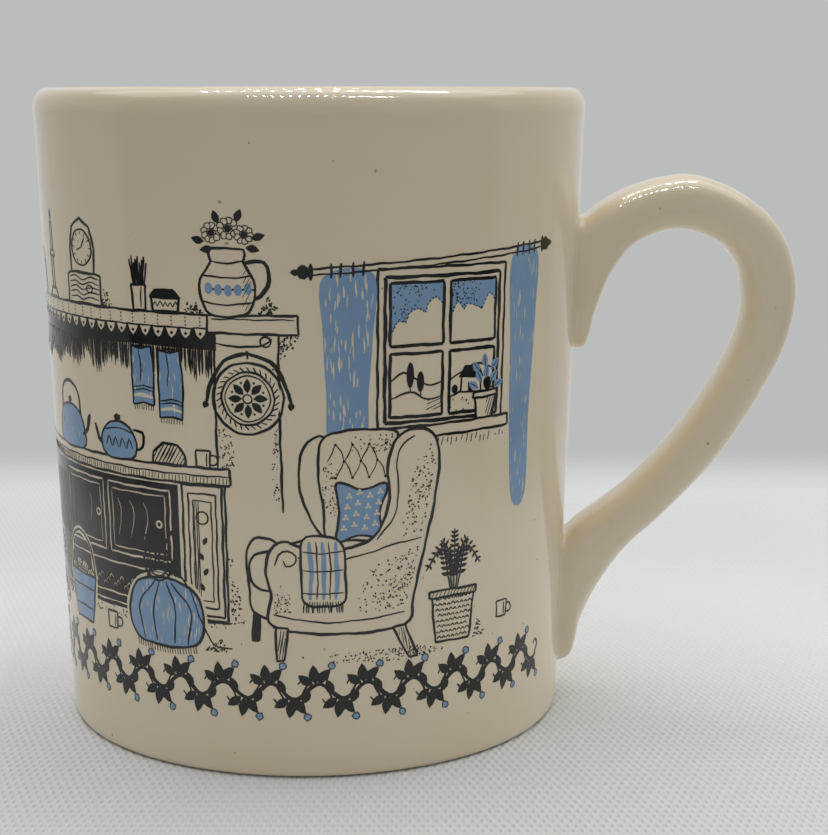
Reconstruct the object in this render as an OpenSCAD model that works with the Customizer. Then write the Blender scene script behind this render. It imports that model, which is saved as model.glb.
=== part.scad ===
// Slip-cast ceramic mug: a clay cup with a foot ring, a separately cast loop handle luted on with
// clay slip at two roots, a glaze coat, and a two-colour printed transfer around the wall.
// Origin: centre of the foot's resting plane, on the cup's axis. +Z is up, +X points to the handle.
// The two roots of the handle lie on the +X side, and the finger gap is open along Y.

/* [Cup] */
// Height from the resting plane to the top of the rim
cup_h = 95; // [88:0.5:102]
// Outside diameter across the mouth, glazed
mouth_d = 82.5; // [80:0.5:85]
// Outside diameter at the foot, glazed, before the rounded edge
foot_d = 76; // [74:0.5:79]
// Thickness of the glazed wall, which is also the diameter of the rounded rim
wall_t = 4; // [3.4:0.1:5]
// Thickness of the glazed floor above the recess
floor_t = 4.5; // [3.5:0.1:6]
// Radius where the inner wall runs into the floor
inner_round = 7; // [4:0.5:10]
// Radius of the outer lower edge
edge_round = 1.4; // [0.8:0.1:2]

/* [Foot] */
// Width of the bare ring that the mug rests on
foot_ring_w = 2.6; // [2:0.1:4]
// Height of the recess inside the foot ring
recess_h = 1.5; // [1:0.1:2.5]

/* [Handle] */
// Width of the glazed grip across the fingers
grip_w = 12; // [10:0.5:14]
// Extra width of the grip where it meets the cup
root_extra_w = 1.6; // [0:0.2:3]
// Squareness of the grip's section: 1 is an ellipse, smaller is squarer
section_power = 0.74; // [0.7:0.02:1]

/* [Joints and glaze] */
// Thickness of the slip that lutes each root to the cup
slip_t = 0.5; // [0.3:0.1:0.8]
// Thickness of the glaze coat
glaze_t = 0.25; // [0.2:0.05:0.35]

/* [Transfer] */
// Thickness of each colour of the printed transfer
print_t = 0.1; // [0.1:0.01:0.15]
// Height of the bottom of the ornament row
border_z = 11; // [9:0.5:14]
// Number of leaves in the ornament row
border_count = 44; // [30:1:50]
// Size of one leaf of the ornament row
border_leaf = 3.4; // [2:0.1:4]
// Angle left bare on each side of the handle
bare_angle = 30; // [26:1:40]

/* [Hidden] */
mouth_r = mouth_d / 2;
foot_r = foot_d / 2;
rim_r = wall_t / 2;
ring_outer_r = foot_r - glaze_t - edge_round;
ring_inner_r = ring_outer_r - foot_ring_w;
recess_slope = 1;
recess_glaze_r = ring_inner_r - recess_slope - 0.2;
floor_z = recess_h + floor_t;
TURN_SIDES = 180;
clay_colour = [0.86, 0.82, 0.73];
slip_colour = [0.80, 0.74, 0.62];
glaze_colour = [0.93, 0.90, 0.80];
blue_colour = [0.52, 0.68, 0.84];
black_colour = [0.10, 0.09, 0.09];

// The glazed handle is lofted between stations. Each has the outer edge x and z, the inner edge
// x and z, and a share of root_extra_w. The first and last stations lie inside the cup's wall.
STATIONS = [
    [38.0, 74.5, 37.5, 56.5, 1.0],
    [41.6, 75.9, 41.5, 55.6, 1.0],
    [44.6, 78.1, 42.9, 60.0, 0.7],
    [48.6, 80.2, 44.9, 66.0, 0.4],
    [53.2, 81.6, 48.9, 71.4, 0.1],
    [58.5, 81.9, 55.4, 73.8, 0.0],
    [65.4, 79.2, 61.4, 72.1, 0.0],
    [71.1, 74.0, 64.7, 68.8, 0.0],
    [73.8, 66.5, 65.8, 64.4, 0.0],
    [73.1, 58.4, 65.6, 59.5, 0.0],
    [69.4, 49.6, 62.8, 52.5, 0.0],
    [62.6, 38.8, 56.8, 43.1, 0.0],
    [54.6, 30.0, 49.6, 35.0, 0.0],
    [48.6, 24.3, 44.8, 31.1, 0.2],
    [44.5, 18.5, 42.2, 29.1, 0.5],
    [41.8, 12.8, 40.8, 27.8, 0.8],
    [40.1, 6.5, 39.9, 26.8, 1.0],
    [37.0, 5.6, 36.5, 24.3, 1.0]
];
RINGS_PER_SPAN = 3;
SECTION_SIDES = 16;
LAST_RING = (len(STATIONS) - 1) * RINGS_PER_SPAN;
UPPER_ROOT_RING = 3 * RINGS_PER_SPAN;
LOWER_ROOT_RING = LAST_RING - 4 * RINGS_PER_SPAN;

// Printed shapes: angle around the cup from the side facing -Y towards the handle, height of the
// lower edge, width along the wall, height, and slope in degrees.
BLUE_SHAPES = [
    [8, 48, 6, 22, 0], [50, 38, 5, 32, 0], [23, 61, 9, 7, 0], [8, 29, 9, 3, 12], [27, 34, 4, 10, 20],
    [-62, 45, 4, 5, 0], [-26, 18, 8, 6, 0], [-130, 40, 6, 28, 0], [-170, 40, 6, 28, 0],
    [-150, 60, 12, 7, 0], [-205, 62, 10, 8, 0], [-228, 30, 7, 7, 0]
];
BLACK_SHAPES = [
    [28, 71.5, 38, 0.8, 2], [14.5, 48, 0.8, 21, 0], [29, 48, 0.8, 22, 0], [43, 48, 0.8, 22, 0],
    [29, 59, 18, 0.8, 2], [29, 46.5, 21, 0.8, 0], [-36, 64, 48, 2, 0], [-7, 46, 3, 17, 0],
    [-44, 42.5, 40, 1.4, 0], [-46, 27, 30, 14.5, 0], [-52, 66.5, 7, 7, 0], [-22, 66.5, 4, 7, 0],
    [12, 46, 12, 1, -8], [25, 26, 1, 18, -14], [0, 21, 1, 12, 0], [13, 25, 13, 1, 8],
    [-150, 70, 32, 0.8, 0], [-139, 42, 0.8, 27, 0], [-161, 42, 0.8, 27, 0], [-150, 41, 18, 0.8, 0],
    [-150, 55, 15, 0.8, 0], [-95, 20, 12, 46, 0], [-205, 58, 26, 1.2, 0], [-215, 22, 18, 20, 0],
    [-190, 20, 1, 36, 0]
];
PRINT_REACH = 12;

function radius_at(z, inset) = foot_r + (mouth_r - foot_r) * z / cup_h - inset;

function arc(centre, r, from, to, steps) = [
    for (i = [0 : steps])
        let (a = from + (to - from) * i / steps)
            [centre[0] + r * cos(a), centre[1] + r * sin(a)]
];

// Outer edge of the cup's half section above the rounded lower edge, and the rim
function outer_edge(inset) = concat(
    [[radius_at(edge_round, inset), edge_round]],
    arc([radius_at(cup_h, rim_r), cup_h - rim_r], rim_r - inset, 0, 180, 12)
);

// Inner edge of the cup's half section, from the wall down to the axis
function inner_edge(inset) = let (
    centre_z = floor_z + inner_round,
    centre_x = radius_at(centre_z, wall_t) - inner_round
) concat(
    arc([centre_x, centre_z], inner_round + inset, 0, -90, 8),
    [[0, floor_z - inset]]
);

module turned(points) {
    rotate_extrude($fn = TURN_SIDES)
        polygon(points);
}

// Solid of the cup's outer shape with no hollow, grown outwards, which trims what meets the wall
module wall_envelope(grow) {
    cylinder(h = cup_h, r1 = foot_r - glaze_t + grow, r2 = mouth_r - glaze_t + grow, $fn = TURN_SIDES);
}

// One smooth curve through four stations, at share t between the middle two
function between(a, b, c, d, t) = 0.5 * (
    2 * b + (c - a) * t + (2 * a - 5 * b + 4 * c - d) * t * t + (3 * b - a - 3 * c + d) * t * t * t
);

function station(i) = STATIONS[max(0, min(len(STATIONS) - 1, i))];

function ring_at(k) = let (
    i = min(floor(k / RINGS_PER_SPAN), len(STATIONS) - 2),
    t = k / RINGS_PER_SPAN - i
) between(station(i - 1), station(i), station(i + 1), station(i + 2), t);

function squared(c) = sign(c) * pow(abs(c), section_power);

// Points of one section of the handle, drawn in by inset
function section(ring, inset) = let (
    outer = [ring[0], ring[1]],
    inner = [ring[2], ring[3]],
    middle = (outer + inner) / 2,
    along = (outer - inner) / norm(outer - inner),
    half_t = norm(outer - inner) / 2 - inset,
    half_w = (grip_w + root_extra_w * ring[4]) / 2 - inset
) [
    for (i = [0 : SECTION_SIDES - 1])
        let (
            a = 360 * i / SECTION_SIDES,
            out = squared(cos(a)) * half_t
        )
            [middle[0] + along[0] * out, squared(sin(a)) * half_w, middle[1] + along[1] * out]
];

// The handle's loop between two rings, drawn in by inset, as one closed shell
module loop(first, last, inset) {
    rings = [for (k = [first : last]) section(ring_at(k), inset)];
    n = SECTION_SIDES;
    sides = [
        for (k = [0 : last - first - 1], i = [0 : n - 1], half = [0, 1])
            let (a = k * n + i, b = k * n + (i + 1) % n)
                half == 0 ? [a, b, b + n] : [a, b + n, a + n]
    ];
    end = (last - first) * n;
    caps = [
        [for (i = [0 : n - 1]) n - 1 - i],
        [for (i = [0 : n - 1]) end + i]
    ];
    polyhedron(points = [for (ring = rings) each ring], faces = concat(sides, caps), convexity = 6);
}

module cup_body() {
    roof_z = recess_h + glaze_t;
    recess = [[0, roof_z], [ring_inner_r - recess_slope, roof_z], [ring_inner_r, 0]];
    lower_edge = arc([ring_outer_r, edge_round], edge_round, -90, -15, 5);
    color(clay_colour)
        turned(concat(recess, lower_edge, outer_edge(glaze_t), inner_edge(glaze_t)));
}

module handle() {
    color(clay_colour)
        difference() {
            loop(0, LAST_RING, glaze_t);
            wall_envelope(slip_t);
        }
}

// Slip layer under one root of the handle, between the rings given
module joint_slip(first, last) {
    color(slip_colour)
        difference() {
            intersection() {
                loop(first, last, glaze_t);
                wall_envelope(slip_t);
            }
            wall_envelope(0);
        }
}

module upper_joint_slip() {
    joint_slip(0, UPPER_ROOT_RING);
}

module lower_joint_slip() {
    joint_slip(LOWER_ROOT_RING, LAST_RING);
}

// Coat over the cup, inside and out and in the recess. The resting ring and the roots stay bare.
module cup_glaze() {
    coat = concat(outer_edge(0), inner_edge(0));
    clay = concat(outer_edge(glaze_t), inner_edge(glaze_t));
    backwards = [for (i = [len(clay) - 1 : -1 : 0]) clay[i]];
    color(glaze_colour) {
        difference() {
            turned(concat(coat, backwards));
            loop(0, UPPER_ROOT_RING, 0);
            loop(LOWER_ROOT_RING, LAST_RING, 0);
        }
        translate([0, 0, recess_h])
            cylinder(h = glaze_t, r = recess_glaze_r, $fn = TURN_SIDES);
    }
}

module handle_glaze() {
    color(glaze_colour)
        difference() {
            loop(0, LAST_RING, 0);
            loop(0, LAST_RING, glaze_t);
            wall_envelope(0);
        }
}

// A flat plate that stands through the wall at one place of the print, turned by slope
module print_plate(shape) {
    rotate([0, 0, shape[0] - 90])
        translate([foot_r, 0, shape[1] + shape[3] / 2])
            rotate([shape[4], 0, 0])
                cube([PRINT_REACH, shape[2], shape[3]], center = true);
}

// A diamond leaf of the ornament row
module leaf_plate(i) {
    span = 360 - 2 * bare_angle;
    rotate([0, 0, -bare_angle - span * (i + 0.5) / border_count])
        translate([foot_r, 0, border_z + border_leaf / sqrt(2)])
            rotate([45, 0, 0])
                cube([PRINT_REACH, border_leaf, border_leaf], center = true);
}

// Thin layer of colour on the glaze, where its children stand through it
module printed_layer() {
    intersection() {
        difference() {
            cylinder(h = cup_h, r1 = foot_r + print_t, r2 = mouth_r + print_t, $fn = TURN_SIDES);
            cylinder(h = cup_h, r1 = foot_r, r2 = mouth_r, $fn = TURN_SIDES);
        }
        children();
    }
}

module transfer_blue() {
    color(blue_colour)
        printed_layer()
            difference() {
                union() {
                    for (shape = BLUE_SHAPES)
                        print_plate(shape);
                }
                union() {
                    for (shape = BLACK_SHAPES)
                        print_plate(shape);
                }
            }
}

module transfer_black() {
    color(black_colour)
        printed_layer()
            union() {
                for (shape = BLACK_SHAPES)
                    print_plate(shape);
                for (i = [0 : border_count - 1])
                    leaf_plate(i);
            }
}

cup_body();
handle();
upper_joint_slip();
lower_joint_slip();
cup_glaze();
handle_glaze();
transfer_blue();
transfer_black();
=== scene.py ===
"""Looks of a cream glazed mug with a two-colour line-art transfer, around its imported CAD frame."""

import math
import random

import bmesh
import bpy
import numpy as np
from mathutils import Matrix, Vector
from mathutils.geometry import delaunay_2d_cdt


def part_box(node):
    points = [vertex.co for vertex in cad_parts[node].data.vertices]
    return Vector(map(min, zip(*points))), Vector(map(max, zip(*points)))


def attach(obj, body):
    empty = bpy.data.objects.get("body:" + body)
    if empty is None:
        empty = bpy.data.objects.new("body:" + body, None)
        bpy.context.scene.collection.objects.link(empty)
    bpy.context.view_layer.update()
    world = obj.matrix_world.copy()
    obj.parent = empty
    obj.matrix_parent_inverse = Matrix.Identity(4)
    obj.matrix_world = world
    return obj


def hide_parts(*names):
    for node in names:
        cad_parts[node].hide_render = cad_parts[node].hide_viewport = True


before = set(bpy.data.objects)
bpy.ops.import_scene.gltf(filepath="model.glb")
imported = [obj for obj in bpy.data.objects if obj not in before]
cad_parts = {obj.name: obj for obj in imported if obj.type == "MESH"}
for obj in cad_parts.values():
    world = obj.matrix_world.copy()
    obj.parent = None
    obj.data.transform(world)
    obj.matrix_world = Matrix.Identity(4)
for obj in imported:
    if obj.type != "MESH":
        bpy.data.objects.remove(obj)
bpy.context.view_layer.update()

MM = 0.001

# ---------------------------------------------------------------- dimensions, in millimetres
CUP_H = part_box("cup_glaze")[1].z / MM
MOUTH_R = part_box("cup_glaze")[1].y / MM
FOOT_R = 38.0
WALL_T = 4.0
RIM_DROP = 3.2
GLAZE_T = 0.25
INNER_ROUND = 7.0
EDGE_ROUND = 1.4
FOOT_RING_W = 2.6
RECESS_H = 1.5
FLOOR_Z = 6.0
GRIP_W = 12.0
ROOT_EXTRA_W = 1.6
SECTION_POWER = 0.74
TAIL_POWER = 0.85
GRIP_REACH = 4.0

# Stations along the glazed handle: outer x, z, inner x, z, and a share of ROOT_EXTRA_W.
STATIONS = np.array([
    [38.0, 74.5, 37.5, 56.5, 1.0],
    [41.6, 75.9, 41.5, 55.6, 1.0],
    [44.6, 78.1, 42.9, 60.0, 0.7],
    [48.6, 80.2, 44.9, 66.0, 0.4],
    [53.2, 81.6, 48.9, 71.4, 0.1],
    [58.5, 81.9, 55.4, 73.8, 0.0],
    [65.4, 79.2, 61.4, 72.1, 0.0],
    [71.1, 74.0, 64.7, 68.8, 0.0],
    [73.8, 66.5, 65.8, 64.4, 0.0],
    [73.1, 58.4, 65.6, 59.5, 0.0],
    [69.4, 49.6, 62.8, 52.5, 0.0],
    [62.6, 38.8, 56.8, 43.1, 0.0],
    [54.6, 30.0, 49.6, 35.0, 0.0],
    [48.6, 24.3, 44.8, 31.1, 0.2],
    [44.5, 18.5, 42.2, 29.1, 0.5],
    [41.8, 12.8, 40.8, 27.8, 0.8],
    [40.1, 6.5, 39.9, 26.8, 1.0],
    [37.0, 5.6, 36.5, 24.3, 1.0],
])


# ---------------------------------------------------------------- small helpers
def srgb(r, g, b):
    """A display colour, 0 to 255, as linear light."""
    def one(v):
        v = v / 255
        return v / 12.92 if v <= 0.04045 else ((v + 0.055) / 1.055) ** 2.4
    return one(r), one(g), one(b), 1.0


def add_piece(obj, material, slot, *replaced):
    """Give a visible piece its material, its body and the CAD nodes it stands for; its slot is not used."""
    obj.data.materials.append(material)
    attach(obj, "root")
    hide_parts(*replaced)


def radius_at(z, inset=0.0):
    """Radius of the cup's outer wall at height z, drawn in by inset."""
    return FOOT_R + (MOUTH_R - FOOT_R) * z / CUP_H - inset


def arc(cx, cz, r, start, end, steps):
    """Points of an arc in the half section, from start to end in degrees."""
    return [
        (cx + r * math.cos(math.radians(a)), cz + r * math.sin(math.radians(a)))
        for a in np.linspace(start, end, steps + 1)
    ]


def make_object(name, points, faces, smooth=True):
    """A mesh object from points in millimetres."""
    mesh = bpy.data.meshes.new(name)
    mesh.from_pydata([tuple(float(c) * MM for c in p) for p in points], [], faces)
    mesh.update()
    if smooth:
        mesh.polygons.foreach_set("use_smooth", [True] * len(mesh.polygons))
    obj = bpy.data.objects.new(name, mesh)
    bpy.context.scene.collection.objects.link(obj)
    return obj


def face_outwards(obj):
    """Turn every face of a closed mesh to the outside."""
    bm = bmesh.new()
    bm.from_mesh(obj.data)
    bmesh.ops.recalc_face_normals(bm, faces=bm.faces)
    bm.to_mesh(obj.data)
    bm.free()


def revolve(name, profile, segments=320):
    """Closed solid turned about Z. A profile point on the axis becomes one pole."""
    points, rings = [], []
    turn = [2 * math.pi * k / segments for k in range(segments)]
    for r, z in profile:
        if r < 1e-6:
            rings.append([len(points)] * segments)
            points.append((0.0, 0.0, z))
        else:
            rings.append(list(range(len(points), len(points) + segments)))
            points.extend((r * math.cos(t), r * math.sin(t), z) for t in turn)
    faces = []
    for a, b in zip(rings, rings[1:] + rings[:1]):
        for k in range(segments):
            m = (k + 1) % segments
            corners = list(dict.fromkeys([a[k], a[m], b[m], b[k]]))
            if len(corners) > 2:
                faces.append(corners)
    obj = make_object(name, points, faces)
    face_outwards(obj)
    return obj


# ---------------------------------------------------------------- camera, lights and floor
LENS = 79.8
CAMERA_PLACE = (15.55 * MM, -283.4 * MM, (CUP_H + 1.60) * MM)
CAMERA_TILT = 0.18205


def make_camera():
    """The photograph's view: just above the rim, looking down a little from the -Y side."""
    data = bpy.data.cameras.new("camera")
    data.sensor_width = 36.0
    data.lens = LENS
    data.clip_start, data.clip_end = 0.01, 20.0
    camera = bpy.data.objects.new("camera", data)
    camera.location = CAMERA_PLACE
    camera.rotation_euler = (math.pi / 2 - CAMERA_TILT, 0.0, 0.0)
    bpy.context.scene.collection.objects.link(camera)
    bpy.context.scene.camera = camera


def make_area_light(name, place, aim, size, power):
    data = bpy.data.lights.new(name, "AREA")
    data.shape = "RECTANGLE"
    data.size, data.size_y = size
    data.energy = power
    light = bpy.data.objects.new(name, data)
    light.location = place
    light.rotation_euler = (Vector(aim) - Vector(place)).to_track_quat("-Z", "Y").to_euler()
    bpy.context.scene.collection.objects.link(light)
    return light


def new_nodes(owner):
    """An emptied node tree's nodes and links."""
    owner.use_nodes = True
    owner.node_tree.nodes.clear()
    return owner.node_tree.nodes, owner.node_tree.links


def math_node(nodes, links, operation, first, second=None, third=None):
    """A Math node; each input is a number or another node's output."""
    node = nodes.new("ShaderNodeMath")
    node.operation = operation
    for k, value in enumerate((first, second, third)):
        if value is None:
            continue
        if isinstance(value, (int, float)):
            node.inputs[k].default_value = value
        else:
            links.new(value, node.inputs[k])
    return node.outputs[0]


def smooth_step(nodes, links, value, low, high):
    """A smooth share of the way from low to high, 0 to 1."""
    node = nodes.new("ShaderNodeMapRange")
    node.interpolation_type = "SMOOTHSTEP"
    node.inputs["From Min"].default_value = low
    node.inputs["From Max"].default_value = high
    links.new(value, node.inputs[0])
    return node.outputs[0]


def mix_colours(nodes, links, factor, first, second, blend="MIX"):
    """Colour mix; each colour is a value or another node's output."""
    node = nodes.new("ShaderNodeMix")
    node.data_type, node.blend_type = "RGBA", blend
    for name, value in (("Factor", factor), ("A", first), ("B", second)):
        socket = next(i for i in node.inputs if i.name == name and i.enabled)
        if isinstance(value, bpy.types.NodeSocket):
            links.new(value, socket)
        else:
            socket.default_value = value
    return next(o for o in node.outputs if o.enabled)


# Light tent: brightness round it, by how far a direction points away from the open front.
TENT_ROUND = ((-1.0, 0.40), (-0.75, 0.32), (-0.45, 0.17), (-0.15, 0.10),
              (-0.11, 0.32), (0.4, 0.34), (0.9, 0.66))
TENT_TOP = 0.62
TENT_SEEN = srgb(187, 189, 188)
FRONT_SKEW = -0.039


def make_world():
    """A light tent: pale behind and at the sides, bright above, with a dim room at its open front."""
    world = bpy.data.worlds.new("tent")
    bpy.context.scene.world = world
    nodes, links = new_nodes(world)
    coords = nodes.new("ShaderNodeTexCoord")
    split = nodes.new("ShaderNodeSeparateXYZ")
    links.new(coords.outputs["Generated"], split.inputs[0])
    side = math_node(nodes, links, "MULTIPLY_ADD", split.outputs["X"], FRONT_SKEW, split.outputs["Y"])
    share = math_node(nodes, links, "MULTIPLY_ADD", side, 0.5, 0.5)
    ramp = nodes.new("ShaderNodeValToRGB")
    stops = ramp.color_ramp.elements
    while len(stops) < len(TENT_ROUND):
        stops.new(0.5)
    for stop, (way, level) in zip(stops, TENT_ROUND):
        stop.position = way / 2 + 0.5
        stop.color = (level, level, level, 1)
    links.new(share, ramp.inputs[0])
    above = smooth_step(nodes, links, split.outputs["Z"], 0.55, 0.85)
    tent = mix_colours(nodes, links, above, ramp.outputs[0], (TENT_TOP, TENT_TOP, TENT_TOP, 1))
    path = nodes.new("ShaderNodeLightPath")
    seen = mix_colours(nodes, links, path.outputs["Is Camera Ray"], tent, TENT_SEEN)
    background = nodes.new("ShaderNodeBackground")
    links.new(seen, background.inputs["Color"])
    output = nodes.new("ShaderNodeOutputWorld")
    links.new(background.outputs[0], output.inputs[0])


CLOTH_HALF = 0.200
CLOTH_FADE = 0.060
CLOTH_PITCH = (0.00118, 0.0033)
# Painted shade: the cloth's colour at its back, darker than at its front, in place of less light there.
CLOTH_BACK_PAINTED_SHADE = (0.89, 0.89, 0.895, 1)


def cloth_weave(nodes, links, split):
    """Height of the woven ribs, -1 to 1, lower towards the back."""
    waves = []
    for axis, pitch in zip("XY", CLOTH_PITCH):
        phase = math_node(nodes, links, "MULTIPLY", split.outputs[axis], 2 * math.pi / pitch)
        waves.append(math_node(nodes, links, "COSINE", phase))
    near = smooth_step(nodes, links, split.outputs["Y"], 0.05, -0.09)
    weave_strength = math_node(nodes, links, "MULTIPLY_ADD", near, 0.75, 0.25)
    return math_node(nodes, links, "MULTIPLY", math_node(nodes, links, "MULTIPLY", *waves), weave_strength)


def cloth_fade(nodes, links, split):
    """How solid the cloth is: 1 in the middle, 0 at its edge."""
    across = math_node(nodes, links, "ABSOLUTE", split.outputs["X"])
    along = math_node(nodes, links, "ABSOLUTE", split.outputs["Y"])
    reach = math_node(nodes, links, "MAXIMUM", across, along)
    return smooth_step(nodes, links, reach, CLOTH_HALF - 0.001, CLOTH_HALF - CLOTH_FADE)


def make_floor():
    """A square of pale cloth under the mug, whose edge fades softly into the background. Its colour holds
    painted shade: darker towards the back, and darker in the hollows of its weave.
    """
    half = CLOTH_HALF / MM
    points = [(x, y, 0.0) for x in (-half, half) for y in (-half, half)]
    floor = make_object("floor", points, [(0, 2, 3, 1)], smooth=False)
    material, nodes, links, shader = principled("floor_cloth", (1, 1, 1, 1), 0.85)
    shader.inputs["Specular IOR Level"].default_value = 0.25
    coords = nodes.new("ShaderNodeTexCoord")
    cloud = noise(nodes, links, coords, 14, 3)
    tone = blend_colours(nodes, links, cloud.outputs["Fac"],
                         (0.3, (0.785, 0.792, 0.795, 1)), (0.7, (0.825, 0.832, 0.835, 1)))
    split = nodes.new("ShaderNodeSeparateXYZ")
    links.new(coords.outputs["Object"], split.inputs[0])
    weave = cloth_weave(nodes, links, split)
    # Painted shade in the weave: its low parts are painted darker, less so towards the back.
    weave_painted_shade = blend_colours(nodes, links, math_node(nodes, links, "MULTIPLY_ADD", weave, 0.5, 0.5),
                          (0.1, (0.93, 0.93, 0.93, 1)), (0.9, (1, 1, 1, 1)))
    woven = mix_colours(nodes, links, 1.0, tone, weave_painted_shade, "MULTIPLY")
    # Painted shade: the cloth is painted darker from here towards its back.
    front = smooth_step(nodes, links, split.outputs["Y"], 0.10, 0.0)
    back_painted_shade = blend_colours(nodes, links, front, (0.0, CLOTH_BACK_PAINTED_SHADE), (1.0, (1, 1, 1, 1)))
    links.new(mix_colours(nodes, links, 1.0, woven, back_painted_shade, "MULTIPLY"), shader.inputs["Base Color"])
    creases = noise(nodes, links, coords, 9, 2)
    add_bump(nodes, links, shader, [(weave, 0.0002, 0.8), (creases.outputs["Fac"], 0.004, 0.35)])
    links.new(cloth_fade(nodes, links, split), shader.inputs["Alpha"])
    floor.data.materials.append(material)


LED_COUNT = 19
LED_SPACING = 13.8
LED_SIZE = (3.8, 30.0)
LED_ROWS = ((32.0, -150.0, 355.0, 130), (18.0, 70.0, 365.0, 200))


def make_led_rows():
    """Rows of small lamps above the open front, which the glaze shows as sparkles."""
    for row, (middle, y, z, strength) in enumerate(LED_ROWS):
        material = bpy.data.materials.new(f"led_row_{row}")
        nodes, links = new_nodes(material)
        glow = nodes.new("ShaderNodeEmission")
        glow.inputs["Strength"].default_value = strength
        output = nodes.new("ShaderNodeOutputMaterial")
        links.new(glow.outputs[0], output.inputs[0])
        points, faces = [], []
        for k in range(LED_COUNT):
            x = middle + (k - (LED_COUNT - 1) / 2) * LED_SPACING
            first = len(points)
            points += [(x + dx * LED_SIZE[0] / 2, y + dy * LED_SIZE[1] / 2, z)
                       for dx in (-1, 1) for dy in (-1, 1)]
            faces.append((first, first + 1, first + 3, first + 2))
        lamps = make_object(f"led_row_{row}", points, faces, smooth=False)
        lamps.visible_diffuse = False
        lamps.visible_camera = False
        lamps.data.materials.append(material)


TOP_LIGHT = {"place": (0.0, 0.20, 0.80), "aim": (0.0, 0.20, 0.0), "size": (1.6, 0.76), "power": 5.0}
FILL_LIGHT = {"place": (0.42, 0.20, 0.16), "aim": (0.03, 0.0, 0.0), "size": (0.30, 0.20), "power": 0.26}


def make_set():
    """Everything that is not the mug."""
    make_camera()
    make_world()
    make_floor()
    make_led_rows()
    make_area_light("top", **TOP_LIGHT)
    make_area_light("right", **FILL_LIGHT).visible_glossy = False
    view = bpy.context.scene.view_settings
    view.view_transform = "Standard"
    view.look = "None"


# ---------------------------------------------------------------- materials
def principled(name, colour, roughness, coat=0.0):
    """A material with its shader, ready for procedural inputs. A coated one shines by its coat only."""
    material = bpy.data.materials.new(name)
    nodes, links = new_nodes(material)
    shader = nodes.new("ShaderNodeBsdfPrincipled")
    shader.inputs["Base Color"].default_value = colour
    shader.inputs["Roughness"].default_value = roughness
    shader.inputs["Specular IOR Level"].default_value = 0.0 if coat else 0.5
    shader.inputs["Coat Weight"].default_value = coat
    shader.inputs["Coat Roughness"].default_value = 0.025
    output = nodes.new("ShaderNodeOutputMaterial")
    links.new(shader.outputs[0], output.inputs[0])
    return material, nodes, links, shader


def noise(nodes, links, coords, scale, detail=2.0):
    texture = nodes.new("ShaderNodeTexNoise")
    texture.inputs["Scale"].default_value = scale
    texture.inputs["Detail"].default_value = detail
    links.new(coords.outputs["Object"], texture.inputs["Vector"])
    return texture


def blend_colours(nodes, links, factor, low, high):
    """Colour between low and high, by a factor output."""
    ramp = nodes.new("ShaderNodeValToRGB")
    ramp.color_ramp.elements[0].position, ramp.color_ramp.elements[0].color = low
    ramp.color_ramp.elements[1].position, ramp.color_ramp.elements[1].color = high
    links.new(factor, ramp.inputs[0])
    return ramp.outputs[0]


def add_bump(nodes, links, shader, layers):
    """Bump from a list of (height output, distance in metres, strength)."""
    normal = None
    for height, distance, strength in layers:
        bump = nodes.new("ShaderNodeBump")
        bump.inputs["Distance"].default_value = distance
        bump.inputs["Strength"].default_value = strength
        links.new(height, bump.inputs["Height"])
        if normal is not None:
            links.new(normal, bump.inputs["Normal"])
        normal = bump.outputs[0]
    links.new(normal, shader.inputs["Normal"])
    links.new(normal, shader.inputs["Coat Normal"])


def glaze_material():
    """Cream glaze: soft tone drift, a few iron specks, and the faint orange peel of fired glaze."""
    material, nodes, links, shader = principled("cream_glaze", (1, 1, 1, 1), 0.5, coat=1.0)
    coords = nodes.new("ShaderNodeTexCoord")
    drift = noise(nodes, links, coords, 35, 3)
    tone = blend_colours(nodes, links, drift.outputs["Fac"],
                         (0.3, (0.790, 0.690, 0.500, 1)), (0.7, (0.815, 0.720, 0.535, 1)))
    specks = noise(nodes, links, coords, 1100, 0)
    dark = blend_colours(nodes, links, specks.outputs["Fac"],
                         (0.875, (1, 1, 1, 1)), (0.905, (0.60, 0.52, 0.40, 1)))
    links.new(mix_colours(nodes, links, 1.0, tone, dark, "MULTIPLY"), shader.inputs["Base Color"])
    peel = noise(nodes, links, coords, 420, 1)
    ripple = noise(nodes, links, coords, 60, 1)
    add_bump(nodes, links, shader, [
        (peel.outputs["Fac"], 0.00002, 0.25), (ripple.outputs["Fac"], 0.0002, 0.12)])
    return material


def clay_material():
    """Bare fired clay: matt, a little warm, with a fine tooth and darker rubbed marks."""
    material, nodes, links, shader = principled("bare_clay", (1, 1, 1, 1), 0.78)
    coords = nodes.new("ShaderNodeTexCoord")
    marks = noise(nodes, links, coords, 260, 5)
    tone = blend_colours(nodes, links, marks.outputs["Fac"],
                         (0.35, (0.52, 0.45, 0.34, 1)), (0.6, (0.70, 0.64, 0.52, 1)))
    links.new(tone, shader.inputs["Base Color"])
    tooth = noise(nodes, links, coords, 2600, 3)
    add_bump(nodes, links, shader, [(tooth.outputs["Fac"], 0.0001, 0.5)])
    return material


def ink_material(name, thin, full, scale):
    """Glossy transfer colour whose density drifts a little, as a screened print does."""
    material, nodes, links, shader = principled(name, (1, 1, 1, 1), 0.5, coat=1.0)
    coords = nodes.new("ShaderNodeTexCoord")
    density = noise(nodes, links, coords, scale, 4)
    tone = blend_colours(nodes, links, density.outputs["Fac"], (0.35, thin), (0.6, full))
    links.new(tone, shader.inputs["Base Color"])
    return material


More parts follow.
